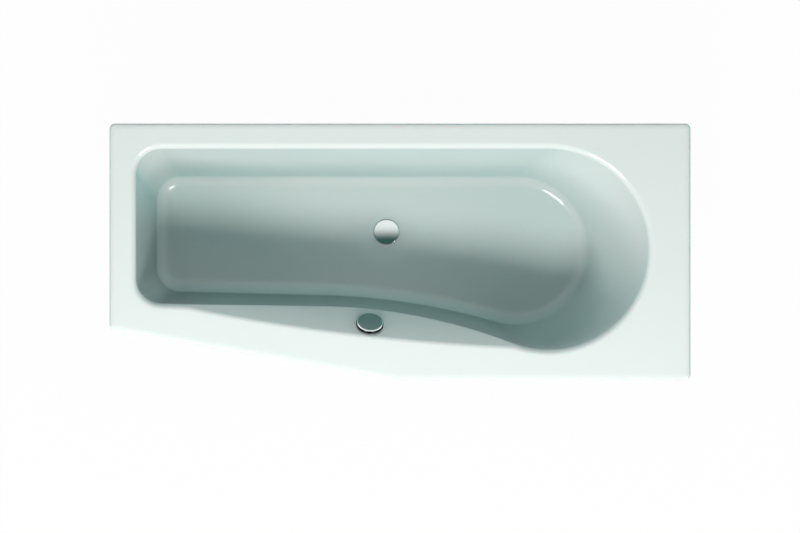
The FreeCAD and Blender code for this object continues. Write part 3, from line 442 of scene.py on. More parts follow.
def rim_rows(insets, heights):
    """Rows round the rim at given insets from its edge and given heights."""
    start = inside[0, :, :2]
    hits = np.stack([rim_hit(start, -inward, inset) for inset in insets])
    return at_heights(hits, heights)


def between(first, last, shares):
    """Rows at shares of the way from one row to another."""
    return first + (last - first) * np.asarray(shares)[:, None, None]


def outlet_rows(radii, heights):
    """Rings round the outlet, each point at the angle at which its column reaches the floor."""
    spoke = unit(inside[-1, :, :2] - WASTE)
    return at_heights(WASTE + spoke * np.asarray(radii)[:, None, None], heights)


lip_edge = rim_rows([STEEL, LIP_ROUND, LIP_ROUND_MIDDLE, 0.0, 0.0, 0.0],
                    [LIP_Z, LIP_Z, LIP_Z + LIP_ROUND_MIDDLE, LIP_Z + LIP_ROUND, *LIP_ROWS])
edge_turn = np.linspace(np.pi / 2, EDGE_SLOPE, EDGE_STEPS)
round_inset = EDGE_ROUND * (1 - np.sin(edge_turn))
round_end_fall = (EDGE_BAND - round_inset[-1]) * np.tan(EDGE_SLOPE)
round_fall = round_end_fall + EDGE_ROUND * (np.cos(EDGE_SLOPE) - np.cos(edge_turn))
band_fall = (EDGE_BAND - np.array(BAND_ROWS)) * np.tan(EDGE_SLOPE)
edge_inset = np.concatenate([round_inset, BAND_ROWS, [EDGE_BAND, PLATE_START]])
edge_fall = np.concatenate([round_fall, band_fall, [BAND_TOP_FALL, 0.0]])
edge_round = rim_rows(edge_inset, RIM_HEIGHT - edge_fall)
plate = between(edge_round[-1], inside[0], PLATE_STEPS)
dish_share = np.linspace(0, 1, DISH_STEPS)
dish_r = DISH_R + (DISH_END_R - DISH_R) * dish_share
dish = outlet_rows(dish_r, FLOOR_Z - DISH_DROP * dish_share ** 2 * (3 - 2 * dish_share))
floor_rows = between(inside[-1], dish[0], [0.03, 0.2, 0.45, 0.7, 0.92])
recess = outlet_rows(*zip(*RECESS))
under_cup = outlet_rows(*zip(*UNDER_CUP))
under_floor = between(under_cup[-1], outside[-1], [0.1, 0.4, 0.7, 0.95])
under_turn = np.linspace(np.pi / 2, 0, EDGE_STEPS)
under_rim = rim_rows(STEEL + UNDER_ROUND * (1 - np.cos(under_turn)),
                     RIM_HEIGHT - STEEL - UNDER_ROUND * (1 - np.sin(under_turn)))
under_plate = between(outside[0], under_rim[0], PLATE_STEPS)
under_lip = rim_rows([STEEL, STEEL], [LIP_Z + 18.0, LIP_Z + 2.0])
print("floor at", FLOOR_Z, "mm, outlet", recess[-1, :, 2].min(), "mm")

# %% [markdown]
# ## The basin as one closed sheet
#
# Stacked in order, the rows run over the enamel from the lip to the outlet and back under the steel to the
# lip, so the grid closes in both directions like a tyre. The overflow needs a hole through both faces: the
# cells inside its circle are left out, the points on the border move onto the circle, and a ring of cells
# joins the two borders through the steel.

# %% Basin mesh
HOLE_R = 27.0
knob_joint = next(j for j in frame["joints"] if j["name"] == "knob_turn")
hole_middle = np.array(knob_joint["pos_m"]) / MM
hole_axis = -unit(np.array(knob_joint["axis"]))
above = np.concatenate([lip_edge, edge_round, plate, inside, floor_rows, dish, recess])
below = np.concatenate([under_cup, under_floor, outside[::-1], under_plate, under_rim, under_lip])
tub = np.concatenate([above, below])
wall_first = len(lip_edge) + len(edge_round) + len(plate)
wall_mirror = len(above) + len(under_cup) + len(under_floor) + len(outside) - 1 + wall_first


def from_axis(points):
    """Parts of the points along the overflow's axis and square to it."""
    offset = points - hole_middle
    along = (offset @ hole_axis)[..., None] * hole_axis
    return along, offset - along


cells = grid_cells(len(tub), COLUMNS, rows_close=True)
flat_tub = tub.reshape(-1, 3)
cell_row = cells[:, 0] // COLUMNS
on_inside = (cell_row >= wall_first) & (cell_row < wall_first + len(inside) - 1)
along, across = from_axis(flat_tub[cells].mean(axis=1))
in_hole = on_inside & (np.linalg.norm(across, axis=1) < HOLE_R) & (np.linalg.norm(along, axis=1) < HOLE_R)


def through_steel(points):
    """The point numbers straight through the steel: the wall's rows come back in reverse order."""
    return (wall_mirror - points // COLUMNS) * COLUMNS + points % COLUMNS


def borders(removed):
    """Directed sides of the removed cells that no other removed cell shares."""
    sides = np.concatenate([removed[:, [k, (k + 1) % 4]] for k in range(4)])
    code = sides[:, 0] * len(flat_tub) + sides[:, 1]
    return sides[~np.isin(sides[:, 1] * len(flat_tub) + sides[:, 0], code)]


removed = np.flatnonzero(in_hole)
removed_below = (wall_mirror - removed // COLUMNS - 1) * COLUMNS + removed % COLUMNS
border = borders(cells[removed])
edge = np.concatenate([border[:, 0], through_steel(border[:, 0])])
along, across = from_axis(flat_tub[edge])
flat_tub[edge] = hole_middle + along + unit(across) * HOLE_R
hole_wall = np.stack([*border.T, *through_steel(border).T[::-1]], axis=-1)
tub_cells = np.concatenate([np.delete(cells, np.concatenate([removed, removed_below]), axis=0), hole_wall])
print("cells cut for the overflow:", len(removed), "on each face")

# %% Basin piece
bath_enamel = add_piece("bath_enamel", flat_tub, tub_cells, "bath", "enamel", "tub_shell")
underside = np.repeat(np.arange(len(tub)) >= len(above), COLUMNS)
add_mark(bath_enamel, "underside", underside)

# %% [markdown]
# ## Turned pieces
#
# The cover of the outlet and the rosette of the overflow are round, so a lathe profile is enough: pairs of
# radius and height, turned about an axis. A revolved curve with a modifier would do the same, but the
# formula keeps the small rounds at their real size.

# %% Turned surface


def turned(profile, columns, base, axis):
    """A profile of (radius, height) pairs turned about an axis, with an end point at each end.

    A point is base + height * axis + radius * (cos a * u + sin a * v), with u and v square to the axis.
    """
    profile = np.asarray(profile, float)
    u = unit(np.cross(axis, (0.0, 1.0, 0.0) if abs(axis[1]) < 0.9 else (1.0, 0.0, 0.0)))
    v = np.cross(axis, u)
    a = 2 * np.pi * np.arange(columns) / columns
    ring = np.cos(a)[:, None] * u + np.sin(a)[:, None] * v
    radius, height = profile[1:-1, 0], profile[1:-1, 1]
    body = base + height[:, None, None] * axis + radius[:, None, None] * ring
    ends = base + profile[[0, -1], 1][:, None] * axis
    points = np.concatenate([body.reshape(-1, 3), ends])
    return points, grid_cells(len(radius), columns), end_fans(len(radius), columns)


def corner_arc(centre, r, first_deg, last_deg, count):
    """(radius, height) pairs on an arc of a profile."""
    a = np.radians(np.linspace(first_deg, last_deg, count))
    return [(centre[0] + r * np.cos(x), centre[1] + r * np.sin(x)) for x in a]


TURNED_COLUMNS = 128
print("columns round a turned piece:", TURNED_COLUMNS)

# %% [markdown]
# ## Cover of the outlet
#
# The cover is a shallow chrome dome that closes the outlet and rises when the rosette is turned. It is part
# of a sphere with a short upright edge and a hollow underneath for the seal. Many rings are worth having
# here, because a mirror shows the smallest flat spot.

# %% Plug cover
PLUG_R, PLUG_LOW, PLUG_TOP, DOME_R, PLUG_EDGE = 36.3, 191.25, 197.5, 155.5, 0.8
HOLLOW_R, HOLLOW_TOP, HOLLOW_EDGE_R, HOLLOW_EDGE_Z = 33.3, 192.45, 33.0, 192.2
UPWARDS = np.array([0.0, 0.0, 1.0])
dome_low = PLUG_TOP - DOME_R + np.sqrt((DOME_R - PLUG_EDGE) ** 2 - (PLUG_R - PLUG_EDGE) ** 2)
dome_deg = np.degrees(np.arccos((PLUG_R - PLUG_EDGE) / (DOME_R - PLUG_EDGE)))
plug_profile = [(0.0, HOLLOW_TOP), (16.0, HOLLOW_TOP), (HOLLOW_EDGE_R, HOLLOW_TOP)]
plug_profile += [(HOLLOW_R, HOLLOW_EDGE_Z), (HOLLOW_R, PLUG_LOW)]
plug_profile += corner_arc((PLUG_R - PLUG_EDGE, PLUG_LOW + PLUG_EDGE), PLUG_EDGE, -90, 0, 6)
plug_profile += corner_arc((PLUG_R - PLUG_EDGE, dome_low), PLUG_EDGE, 0, dome_deg, 6)
plug_profile += corner_arc((0.0, PLUG_TOP - DOME_R), DOME_R, dome_deg, 90, 30)[1:]
plug_base = np.array([*WASTE, 0.0])
plug_points, plug_cells, plug_fans = turned(plug_profile, TURNED_COLUMNS, plug_base, UPWARDS)
add_piece("plug_cover", plug_points, plug_cells, "plug", "chrome", "waste_plug", plug_fans)
print("dome edge at", round(dome_low, 2), "mm")

# %% [markdown]
# ## Rosette of the overflow
#
# The rosette is a flat disc with a rounded edge, hollow behind, standing a little off the facet so that
# water can run in under it. Its face is finely brushed and painted darker than its polished edge, a painted
# reflection of the shaded front of the basin, and its skirt is painted nearly black as painted shade, so
# each point also carries two marks, 0 or 1, for the finish to read.

# %% Rosette
ROSETTE_R, ROSETTE_BACK, ROSETTE_FRONT = 40.2, 3.0, 13.2
ROSETTE_EDGE, ROSETTE_WALL, SKIRT_ROUND = 6.0, 2.5, 0.4
INNER_SLOPE_R, FACE_RINGS = 33.2, (33.9, 30.0, 20.0, 10.0, 0.0)
FACE_R, SKIRT_DEG = 36.0, 37.0
inner_r, inner_top = ROSETTE_R - ROSETTE_WALL, ROSETTE_FRONT - ROSETTE_WALL
edge_r, edge_z = ROSETTE_R - ROSETTE_EDGE, ROSETTE_FRONT - ROSETTE_EDGE
round_z = ROSETTE_BACK + SKIRT_ROUND
rosette_profile = [(0.0, inner_top), (18.0, inner_top), (INNER_SLOPE_R, inner_top), (inner_r, edge_z)]
rosette_profile += [(inner_r, round_z), (inner_r + SKIRT_ROUND, ROSETTE_BACK)]
rosette_profile += [(ROSETTE_R - SKIRT_ROUND, ROSETTE_BACK), (ROSETTE_R, round_z)]
rosette_profile += corner_arc((edge_r, edge_z), ROSETTE_EDGE, 0, 90, 16)
rosette_profile += [(r, ROSETTE_FRONT) for r in FACE_RINGS]
rosette_points, rosette_cells, rosette_fans = turned(rosette_profile, TURNED_COLUMNS, hole_middle, hole_axis)
rosette = add_piece("rosette", rosette_points, rosette_cells, "knob", "chrome", "overflow_knob", rosette_fans)
along, across = from_axis(rosette_points)
skirt_top = edge_z + ROSETTE_EDGE * np.sin(np.radians(SKIRT_DEG))
# Marks for the finish: the face gets a painted dark reflection, the skirt gets painted shade, nearly black.
add_mark(rosette, "face", np.linalg.norm(across, axis=1) < FACE_R)
add_mark(rosette, "painted_shade_skirt", along @ hole_axis < skirt_top)

# %% [markdown]
# ## Hose and control cable
#
# Behind the facet a ribbed hose takes overflow water down to the outlet, and a thin cable beside it carries
# the rosette's turn. Both hang in one upright plane. A smooth spline through a few points gives the line of
# each; a ring is then carried along it, and on the hose its radius waves along the length to make the ribs.

# %% Lines of the hose and the cable


def spline_line(name, points):
    """Points along a smooth spline that starts and ends at the first and last point."""
    curve = bpy.data.curves.new(name, "CURVE")
    curve.dimensions = "3D"
    curve.resolution_u = 48
    spline = curve.splines.new("NURBS")
    spline.points.add(len(points) - 1)
    spline.points.foreach_set("co", np.column_stack([points, np.ones(len(points))]).ravel())
    spline.order_u = 3
    spline.use_endpoint_u = True
    line = bpy.data.objects.new(name, curve)
    mesh = bpy.data.meshes.new_from_object(line)
    found = np.zeros(len(mesh.vertices) * 3)
    mesh.vertices.foreach_get("co", found)
    bpy.data.meshes.remove(mesh)
    bpy.data.objects.remove(line)
    bpy.data.curves.remove(curve)
    return found.reshape(-1, 3)


HOSE_ROUTE = np.array([(-90.438, -229.065, 508.209), (-90.438, -229.065, 392.0),
                       (-90.438, -229.065, 152.0), (-48.585, 6.800, 152.0)])
CABLE_ROUTE = np.array([(-66.807, -233.258, 520.209), (-66.807, -233.258, 392.0),
                        (-66.807, -233.258, 152.0), (-23.011, 13.557, 152.0)])
hose_line = spline_line("hose_line", HOSE_ROUTE)
cable_line = spline_line("cable_line", CABLE_ROUTE)
print("line points:", len(hose_line), len(cable_line))

# %% Ribbed tubes
RING_STEP, RINGS_PER_INNER_RING = 0.5, 12


def tube(line, outer, inner_r, columns):
    """A closed pipe wall along a line: out along the outer radius and back along the inner one.

    outer is the radius as a function of the length s. A point is line(s) + r * (cos a * n + sin a * b),
    where b is square to the line's upright plane and n is square to b and to the line.
    """
    lengths = np.concatenate([[0.0], np.cumsum(np.linalg.norm(np.diff(line, axis=0), axis=1))])
    out = np.linspace(0, lengths[-1], int(lengths[-1] / RING_STEP) + 1)
    back = np.union1d(out[::-RINGS_PER_INNER_RING], [0.0])[::-1]
    s = np.concatenate([out, back])
    r = np.concatenate([outer(out), np.full(len(back), inner_r)])
    at = np.stack([np.interp(s, lengths, line[:, k]) for k in range(3)], axis=-1)
    slopes = np.gradient(line, lengths, axis=0)
    ahead = unit(np.stack([np.interp(s, lengths, slopes[:, k]) for k in range(3)], axis=-1))
    aside = unit(np.cross(line[0] - line[-1], (0.0, 0.0, 1.0)))
    upward = np.cross(aside, ahead)
    a = 2 * np.pi * np.arange(columns)[:, None] / columns
    points = at[:, None] + r[:, None, None] * (np.cos(a) * upward[:, None] + np.sin(a) * aside)
    return points, grid_cells(len(s), columns, rows_close=True), lengths[-1]


HOSE_R, RIB_DEPTH, RIB_PITCH, HOSE_BORE_R = 11.4, 0.6, 4.0, 10.0
SHEATH_R, WINDING_DEPTH, WINDING_PITCH, SHEATH_BORE_R = 2.44, 0.06, 2.0, 1.0


def hose_radius(s):
    """Ribs every 4 mm, round on top."""
    return HOSE_R + RIB_DEPTH * np.cos(2 * np.pi * s / RIB_PITCH)


def sheath_radius(s):
    """The winding of the cable's inner wire shows faintly through the plastic."""
    return SHEATH_R + WINDING_DEPTH * np.cos(2 * np.pi * s / WINDING_PITCH)


hose_points, hose_cells, hose_length = tube(hose_line, hose_radius, HOSE_BORE_R, 32)
add_piece("hose_ribbed", hose_points, hose_cells, "bath", "hose_plastic", "overflow_hose", crease_deg=60)
cable_points, cable_cells, cable_length = tube(cable_line, sheath_radius, SHEATH_BORE_R, 16)
add_piece("cable_sheath", cable_points, cable_cells, "bath", "cable_plastic", "bowden_sheath", crease_deg=60)
print(f"hose {hose_length:.0f} mm, cable {cable_length:.0f} mm")

# %% [markdown]
# ## Threaded feet
#
# Each foot has a 10 mm spindle with a 1.5 mm pitch. In the solids it is a plain rod. A screw thread is a
# wave that climbs one pitch per turn, so the radius depends on the height and on the angle together. The
# six-sided collar is another formula for the radius: the flat's distance divided by a cosine.

# %% Spindles
PITCH, CREST_R, THREAD_DEPTH = 1.5, 5.0, 0.46
COLLAR_FLAT, SPINDLE_COLUMNS = 7.5, 48
THREAD_LOW, THREAD_TOP, THREAD_TAPER, THREAD_END_R = 30.6, 218.0, 1.2, 3.9
FOOT_ROWS = [(6.2, 10.35), (6.8, 10.6), (7.0, 11.2), (7.0, 22.34)]
COLLAR_HEIGHTS = [22.35, 22.36, 22.9, 29.8, 30.35, 30.35]


def spindle_points(x, y):
    """Rows up a spindle: round foot, six-sided collar, then a thread.

    Thread radius = crest - depth * (1 - cos(2 pi z / pitch - angle)). Collar radius = flat / cos of the
    angle from the middle of the nearest flat.
    """
    a = 2 * np.pi * np.arange(SPINDLE_COLUMNS) / SPINDLE_COLUMNS
    six = COLLAR_FLAT / np.cos(a % (np.pi / 3) - np.pi / 6)
    lower = np.array([np.full(SPINDLE_COLUMNS, r) for r, _ in FOOT_ROWS])
    collar = np.array([six - 0.4, six - 0.35, six, six, six - 0.5, np.full(SPINDLE_COLUMNS, 5.2)])
    thread_z = np.arange(THREAD_LOW, THREAD_TOP, PITCH / 6)
    fade = np.clip((THREAD_TOP - thread_z) / THREAD_TAPER, 0.0, 1.0)[:, None]
    wave = 1 - np.cos(2 * np.pi * thread_z[:, None] / PITCH - a)
    taper = THREAD_END_R + (CREST_R - THREAD_END_R) * fade
    thread = np.minimum(CREST_R - THREAD_DEPTH * wave, taper)
    r = np.concatenate([lower, collar, thread])
    z = np.concatenate([[z for _, z in FOOT_ROWS], COLLAR_HEIGHTS, thread_z])
    rows = np.stack([x + r * np.cos(a), y + r * np.sin(a), z[:, None] + 0 * r], axis=-1)
    ends = np.array([(x, y, z[0]), (x, y, z[-1])])
    return np.concatenate([rows.reshape(-1, 3), ends]), len(z)


for foot in range(1, 5):
    low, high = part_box(f"foot_spindle_{foot}")
    middle = (low + high) / 2 / MM
    points, rows = spindle_points(middle.x, middle.y)
    add_piece(f"spindle_thread_{foot}", points, grid_cells(rows, SPINDLE_COLUMNS), f"spindle_{foot}",
              "zinc_steel", f"foot_spindle_{foot}", end_fans(rows, SPINDLE_COLUMNS))

# %% [markdown]
# ## A way to write finishes
#
# A finish is a network of shader nodes. Placing nodes by hand hides the idea, so one small class wraps a
# socket: sums and products of sockets become Math nodes, and one method adds any other node. A finish then
# reads like the formula it is.

# %% Shader class


class Shade:
    """A socket of a node network. Arithmetic between sockets and numbers adds Math nodes."""

    def __init__(self, socket):
        self.socket = socket

    def node(self, kind, settings, inputs, out=0):
        """Adds a node: its settings first, then numbers or links for its sockets; returns one output."""
        tree = self.socket.id_data
        made = tree.nodes.new("ShaderNode" + kind)
        for key, value in settings.items():
            setattr(made, key, value)
        for key, value in inputs.items():
            if isinstance(value, Shade):
                tree.links.new(value.socket, made.inputs[key])
            else:
                made.inputs[key].default_value = value
        return None if out is None else Shade(made.outputs[out])

    def math(self, operation, a, b):
        return self.node("Math", {"operation": operation}, {0: a, 1: b})

    def __add__(self, other):
        return self.math("ADD", self, other)

    def __sub__(self, other):
        return self.math("SUBTRACT", self, other)

    def __rsub__(self, other):
        return self.math("SUBTRACT", other, self)

    def __mul__(self, other):
        return self.math("MULTIPLY", self, other)

    __radd__ = __add__
    __rmul__ = __mul__

    def mix(self, first, second):
        """Colour that goes from first to second as this value goes from 0 to 1."""
        return self.node("Mix", {"data_type": "RGBA"}, {0: self, 6: first, 7: second}, 2)

    def noise(self, scale, detail=2.0):
        """Cloudy value from 0 to 1 at this place."""
        return self.node("TexNoise", {}, {"Vector": self, "Scale": scale, "Detail": detail})

    def stretched(self, scale):
        """This place with each axis multiplied."""
        return self.node("Mapping", {}, {"Vector": self, "Scale": scale})

    def between(self, low, high):
        """0 below low, 1 above high and a smooth step between."""
        limits = {"Value": self, "From Min": low, "From Max": high}
        return self.node("MapRange", {"interpolation_type": "SMOOTHSTEP"}, limits)


def grey(value):
    """A neutral colour."""
    return (value, value, value, 1.0)


def tint(red, green, blue):
    """A colour with full alpha."""
    return (red, green, blue, 1.0)


finishes = {}


def start(name):
    """A new finish, and the place on the object that its patterns are worked out from."""
    material = bpy.data.materials.new(name)
    material.use_nodes = True
    material.node_tree.nodes.clear()
    finishes[name] = material
    return Shade(material.node_tree.nodes.new("ShaderNodeTexCoord").outputs["Object"])


def surface(place, inputs, height=None, depth=0.0002, strength=0.3):
    """Closes a finish: a Principled shader, with bump from a height if there is one."""
    if height is not None:
        bump = {"Height": height, "Distance": depth, "Strength": strength}
        inputs = {**inputs, "Normal": place.node("Bump", {}, bump)}
    shader = place.node("BsdfPrincipled", {}, inputs)
    place.node("OutputMaterial", {}, {"Surface": shader}, None)


print("shader helpers ready")

# %% [markdown]
# ## Enamel
#
# Vitreous enamel is a thin layer of coloured glass on steel: white with a cool tone, very glossy, and with
# a faint ripple from flowing in the kiln. A plain glossy white would do at a distance, but up close the
# ripple and the uneven gloss are what tell glass from paint. The underside only has the dark ground coat
# with pale specks, so a mark on the mesh chooses between the two.

# %% Enamel
place = start("enamel")
coated = place.node("Attribute", {"attribute_name": "underside"}, {}, "Fac")
tone = place.noise(2.5)
ripple = place.noise(110.0, 1.0)
fleck = place.node("TexVoronoi", {}, {"Vector": place, "Scale": 260.0}).between(0.12, 0.2)
white = tone.mix(tint(0.838, 0.848, 0.835), tint(0.858, 0.866, 0.853))
ground = fleck.mix(tint(0.20, 0.22, 0.25), tint(0.035, 0.045, 0.06))
surface(place, {
    "Base Color": coated.mix(white, ground),
    "Roughness": 0.07 + 0.05 * place.noise(9.0) + 0.30 * coated,
    "IOR": 1.5,
}, ripple, depth=0.0001, strength=0.05)
print("finish: enamel with its ground coat")

# %% [markdown]
# ## Chrome and the metals
#
# Chrome plating is a mirror with almost no colour; faint wipe marks change its gloss. The rosette's face is
# finely brushed and painted darker, a painted reflection of the shaded front of the basin, and its skirt is
# painted nearly black as painted shade. Stainless steel shows streaks from rolling, and zinc-plated steel a
# patchwork of crystals with a hint of yellow. Each of these is one pattern that steers colour and roughness.

# %% Chrome
place = start("chrome")
face, painted_shade_skirt = (place.node("Attribute", {"attribute_name": mark}, {}, "Fac") for mark in ("face", "painted_shade_skirt"))
wipe = place.noise(45.0, 4.0)
brushed = place.stretched((900.0, 30.0, 30.0)).noise(1.0, 3.0)
bright = wipe.mix(tint(0.83, 0.865, 0.86), tint(0.89, 0.92, 0.915))
# Painted reflection: the face is painted dark grey-green where a mirror would show the shaded front of the basin;
# the brushed grain in it is real.
dark = brushed.mix(tint(0.236, 0.270, 0.264), tint(0.282, 0.314, 0.307))
surface(place, {
    # Painted shade: the skirt is painted nearly black, and the face gets its painted dark reflection.
    "Base Color": painted_shade_skirt.mix(face.mix(bright, dark), tint(0.022, 0.032, 0.03)),
    "Metallic": 1.0,
    "Roughness": 0.04 + 0.04 * wipe + 0.16 * face,
}, brushed, depth=0.00002, strength=0.1)
print("finish: chrome")

# %% Other metals
place = start("stainless")
streaks = place.stretched((40.0, 40.0, 2600.0)).noise(1.0, 3.0)
surface(place, {
    "Base Color": streaks.mix(tint(0.50, 0.51, 0.52), tint(0.68, 0.68, 0.67)),
    "Metallic": 1.0,
    "Roughness": 0.2 + 0.18 * streaks,
}, streaks, depth=0.00003)

place = start("zinc_steel")
crystals = place.node("TexVoronoi", {"feature": "F1"}, {"Vector": place, "Scale": 160.0}, "Color")
crystal = crystals.node("SeparateColor", {}, {"Color": crystals}, "Red")
dulled = place.noise(25.0, 4.0)
surface(place, {
    "Base Color": (0.6 * crystal + 0.4 * dulled).mix(tint(0.48, 0.50, 0.52), tint(0.72, 0.72, 0.68)),
    "Metallic": 1.0,
    "Roughness": 0.26 + 0.14 * crystal + 0.1 * dulled,
}, dulled, depth=0.00008)

place = start("ferrule_metal")
tarnish = place.noise(140.0, 5.0).between(0.35, 0.75)
surface(place, {
    "Base Color": tarnish.mix(tint(0.74, 0.56, 0.24), tint(0.42, 0.29, 0.12)),
    "Metallic": 1.0,
    "Roughness": 0.2 + 0.25 * tarnish,
}, tarnish, depth=0.00005)
print("finishes: stainless, zinc, brass")

# %% [markdown]
# ## Plastics and rubbers
#
# Moulded plastic has a fine, even grain from the tool and slow changes of shade where the melt met. Rubber
# is darker, rougher and dusted with talc. One recipe with different colours and grain sizes serves them all,
# since on the real bath too they differ mainly in those.

# %% Moulded finishes


def moulded(name, dark, light, grain, roughness, dust):
    """Two shades blended by a slow cloud, a fine grain as bump, and pale dust in some places."""
    place = start(name)
    cloud = place.noise(14.0, 3.0)
    fine = place.noise(grain, 2.0)
    dusty = place.noise(60.0, 5.0).between(0.5, 0.8) * dust
    body = cloud.mix(tint(*dark), tint(*light))
    surface(place, {
        "Base Color": dusty.mix(body, grey(0.42)),
        "Roughness": roughness + 0.12 * fine + 0.2 * dusty,
    }, fine, depth=0.00012)


MOULDED = [
    # name, dark shade, light shade, grain, roughness, dust
    ("white_plastic", (0.70, 0.70, 0.67), (0.80, 0.80, 0.775), 1400.0, 0.34, 0.05),
    ("grey_plastic", (0.10, 0.105, 0.11), (0.15, 0.155, 0.16), 1200.0, 0.40, 0.08),
    ("hose_plastic", (0.50, 0.50, 0.475), (0.60, 0.60, 0.575), 900.0, 0.42, 0.12),
    ("cable_plastic", (0.012, 0.012, 0.013), (0.022, 0.022, 0.024), 1500.0, 0.36, 0.06),
    ("foot_plastic", (0.016, 0.016, 0.018), (0.034, 0.034, 0.037), 1100.0, 0.50, 0.14),
    ("seal_rubber", (0.012, 0.012, 0.012), (0.024, 0.024, 0.024), 800.0, 0.62, 0.16),
    ("sole_rubber", (0.016, 0.016, 0.017), (0.034, 0.034, 0.036), 600.0, 0.70, 0.30),
    ("pad_rubber", (0.045, 0.045, 0.048), (0.085, 0.085, 0.09), 420.0, 0.78, 0.20),
]
for recipe in MOULDED:
    moulded(*recipe)
print("moulded finishes:", len(MOULDED))

# %% [markdown]
# ## Damping mat
#
# The mats under the floor are bitumen sheets, embossed with a diamond grid so that they bend into place.
# The grid is two sets of sine ridges that cross; it is a pattern in the finish and not in the mesh, because
# the ridges are half a millimetre high.

# %% Damping mat
RIDGES = 520.0
place = start("damping_mat")
lengthways, crossways = (place.node("SeparateXYZ", {}, {"Vector": place}, axis) for axis in "XY")
rising = place.math("SINE", (lengthways + crossways) * RIDGES, 0.0)
falling = place.math("SINE", (lengthways - crossways) * RIDGES, 0.0)
diamond = rising.math("MAXIMUM", rising, falling).between(0.4, 0.95)
wear = place.noise(35.0, 5.0)
surface(place, {
    "Base Color": (0.5 * wear + 0.4 * diamond).mix(tint(0.014, 0.014, 0.015), tint(0.06, 0.06, 0.062)),
    "Roughness": 0.62 + 0.2 * wear,
}, diamond, depth=0.0006, strength=0.6)
print("finish: damping mat")

# %% [markdown]
# ## Each solid gets its finish
#
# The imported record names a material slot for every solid, and the finishes carry the same names. The new
# pieces carry their slot as a label, so one loop serves both.

# %% Give out the finishes
slot_of = {part["node"]: part["material_slot"] for part in frame["record"]["subparts"]}
for node, solid in frame["nodes"].items():
    solid.data.materials.clear()
    solid.data.materials.append(finishes[slot_of[node]])
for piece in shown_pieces():
    if "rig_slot" in piece:
        piece.data.materials.append(finishes[piece["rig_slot"]])

# %% [markdown]
# ## Studio
#
# The main light is soft and comes from the front side, 53 degrees up, so that the back wall is bright, the
# front wall lies in its own shade and the shade fades out on the floor. White enamel throws so much light
# back and forth that the basin would fill up with it, so the key lamp is followed for one bounce only. It
# is green, and a red lamp in the same place, which does not bounce, makes it white on whatever it lights
# directly; so lit enamel is white and the shade inside the basin has a cool tint. Six weaker lamps around
# the bath, which do not bounce either, set how dark each wall is, and a faint cool sky fills the rest. With
# multiple importance sampling a lamp still lit the basin beyond its bounces, so that is off.

# %% Lamps
LAMPS_AIM = Vector((0.0, 0.0, 0.45))
LAMP_DISTANCE = 5.0
WHITE, RED, GREEN = (1.0, 1.0, 1.0), (1.0, 0.0, 0.0), (0.46, 1.0, 0.96)
LAMPS = [
    # name, bearing from the front towards +X, elevation, width, watts, colour, bounces
    ("key", 0.0, 53.0, 1.3, 144.0, GREEN, 1),
    ("key_red", 0.0, 53.0, 1.3, 68.0, RED, 0),
    ("low_front", 0.0, 28.0, 2.0, 87.0, WHITE, 0),
    ("left_front", -60.0, 35.0, 2.0, 41.0, WHITE, 0),
    ("head_end", 90.0, 30.0, 2.0, 33.0, WHITE, 0),
    ("foot_end", -90.0, 30.0, 2.0, 18.0, WHITE, 0),
    ("back", 180.0, 50.0, 2.5, 25.0, WHITE, 0),
    ("low_back", 180.0, 6.0, 0.7, 36.0, WHITE, 0),
]
for name, bearing, elevation, width, watts, colour, bounces in LAMPS:
    lamp_data = bpy.data.lights.new(name, "AREA")
    lamp_data.shape = "DISK"
    lamp_data.size = width
    lamp_data.energy = watts
    lamp_data.color = colour
    lamp_data.cycles.max_bounces = bounces
    lamp_data.cycles.use_multiple_importance_sampling = False
    lamp = bpy.data.objects.new(name, lamp_data)
    turn, rise = math.radians(bearing), math.radians(elevation)
    level = math.cos(rise)
    toward = Vector((math.sin(turn) * level, -math.cos(turn) * level, math.sin(rise)))
    lamp.location = LAMPS_AIM + toward * LAMP_DISTANCE
    lamp.rotation_euler = toward.to_track_quat("Z", "Y").to_euler()
    lamp.visible_glossy = False
    bpy.context.scene.collection.objects.link(lamp)
    print(name, "lamp at", [round(x, 2) for x in lamp.location])

# %% [markdown]
# ## What the mirrors see
#
# The lamps above only light; reflections come from the sky alone. Towards the wall behind the bath it is
# white and towards the front it is dark, which gives the plug its bright and its dark half. Two bright
# windows on the front side, left and right, put the short white glints on the round edges of the basin: a
# round edge shows a window where its slope is half of the window's angle from straight up.

# %% Sky
SKY_FILL = tint(0.065, 0.118, 0.118)
SKY_FRONT, SKY_BACK = tint(0.043, 0.095, 0.086), tint(0.88, 0.93, 0.915)
WINDOW_WHITE = grey(18.0)
WINDOW_NEAR, WINDOW_FAR = 0.44, 1.10  # sideways, for each metre ahead
WINDOW_LOW, WINDOW_HIGH = 0.43, 0.82  # height of a ray of length 1
SIDE_SOFT, LOW_SOFT, HIGH_SOFT = 0.06, 0.04, 0.03
DARK_UNTIL, WHITE_FROM = -0.31, 0.26
RAYS = ("Is Camera Ray", "Is Glossy Ray", "Is Transmission Ray")
world = bpy.data.worlds.new("studio")
world.use_nodes = True
world.node_tree.nodes.clear()
sky = Shade(world.node_tree.nodes.new("ShaderNodeTexCoord").outputs["Generated"])
sideways, backwards, up = (sky.node("SeparateXYZ", {}, {"Vector": sky}, axis) for axis in "XYZ")
camera_ray, glossy_ray, clear_ray = (sky.node("LightPath", {}, {}, name) for name in RAYS)
scattered = sky.node("LightPath", {}, {}, "Diffuse Depth").between(0.2, 0.8)
first_mirror = (2.0 - sky.node("LightPath", {}, {}, "Glossy Depth")).between(0.2, 0.8)
gradient = backwards.between(DARK_UNTIL, WHITE_FROM).mix(SKY_FRONT, SKY_BACK)
aside = sky.math("ABSOLUTE", sideways, 0.0)
ahead = 0.0 - backwards
window = (aside - WINDOW_NEAR * ahead).between(0.0, SIDE_SOFT)
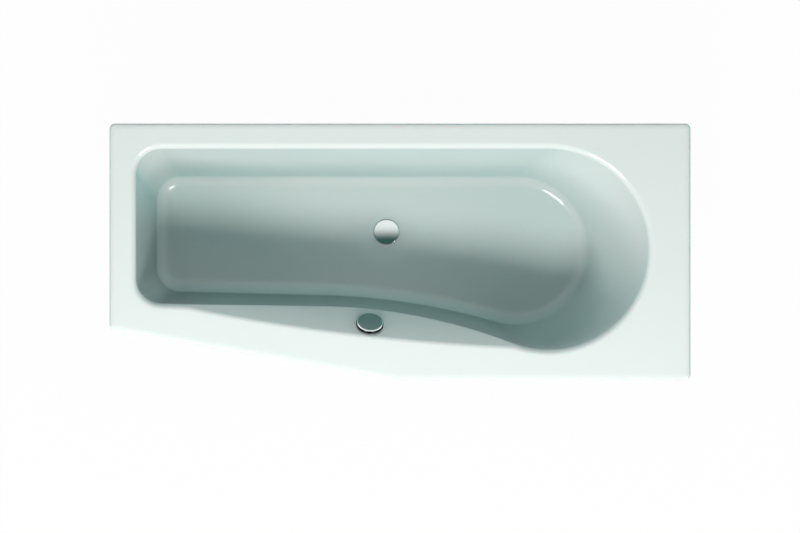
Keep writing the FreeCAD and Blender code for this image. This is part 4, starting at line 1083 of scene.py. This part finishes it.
window = window * (WINDOW_FAR * ahead - aside).between(0.0, SIDE_SOFT)
window = window * up.between(WINDOW_LOW, WINDOW_LOW + LOW_SOFT) * (WINDOW_HIGH - up).between(0.0, HIGH_SOFT)
mirrored = (window * first_mirror).mix(gradient, WINDOW_WHITE)
seen = (glossy_ray * (1.0 - scattered)).mix(SKY_FILL, mirrored)
seen = (camera_ray + clear_ray).mix(seen, grey(1.0))
background = sky.node("Background", {}, {"Color": seen, "Strength": 1.0})
sky.node("OutputWorld", {}, {"Surface": background}, None)
bpy.context.scene.world = world
print("sky nodes:", len(world.node_tree.nodes))

# %% [markdown]
# ## Floor
#
# The floor looks white to the camera but still takes a little of the bath's shadow. It lies a foot's travel
# under the soles, so that no foot sinks into it when it is screwed out. From below it is see-through, so
# that the feet and pipes can be looked at.

# %% Floor
FLOOR_HALF, UNDER_THE_FEET = 12.0, -0.0255
FLOOR_GLOW = 0.975
FLOOR_CORNERS = ((-1, -1), (1, -1), (1, 1), (-1, 1))
place = start("studio_floor")
looked_at = sum(place.node("LightPath", {}, {}, name) for name in RAYS)
matt = place.node("BsdfDiffuse", {}, {"Color": place.noise(3.0).mix(grey(0.8), grey(0.82))})
glow = place.node("Emission", {}, {"Color": grey(1.0), "Strength": 1.0})
lit = place.node("MixShader", {}, {0: FLOOR_GLOW * looked_at, 1: matt, 2: glow})
from_below = place.node("NewGeometry", {}, {}, "Backfacing")
clear = place.node("BsdfTransparent", {}, {})
shown = place.node("MixShader", {}, {0: from_below, 1: lit, 2: clear})
place.node("OutputMaterial", {}, {"Surface": shown}, None)
floor_mesh = bpy.data.meshes.new("studio_floor")
corners = [(FLOOR_HALF * x, FLOOR_HALF * y, UNDER_THE_FEET) for x, y in FLOOR_CORNERS]
floor_mesh.from_pydata(corners, [], [(0, 1, 2, 3)])
floor_mesh.materials.append(finishes["studio_floor"])
studio_floor = bpy.data.objects.new("studio_floor", floor_mesh)
bpy.context.scene.collection.objects.link(studio_floor)
bpy.context.scene.view_settings.view_transform = "Standard"
print("studio ready")
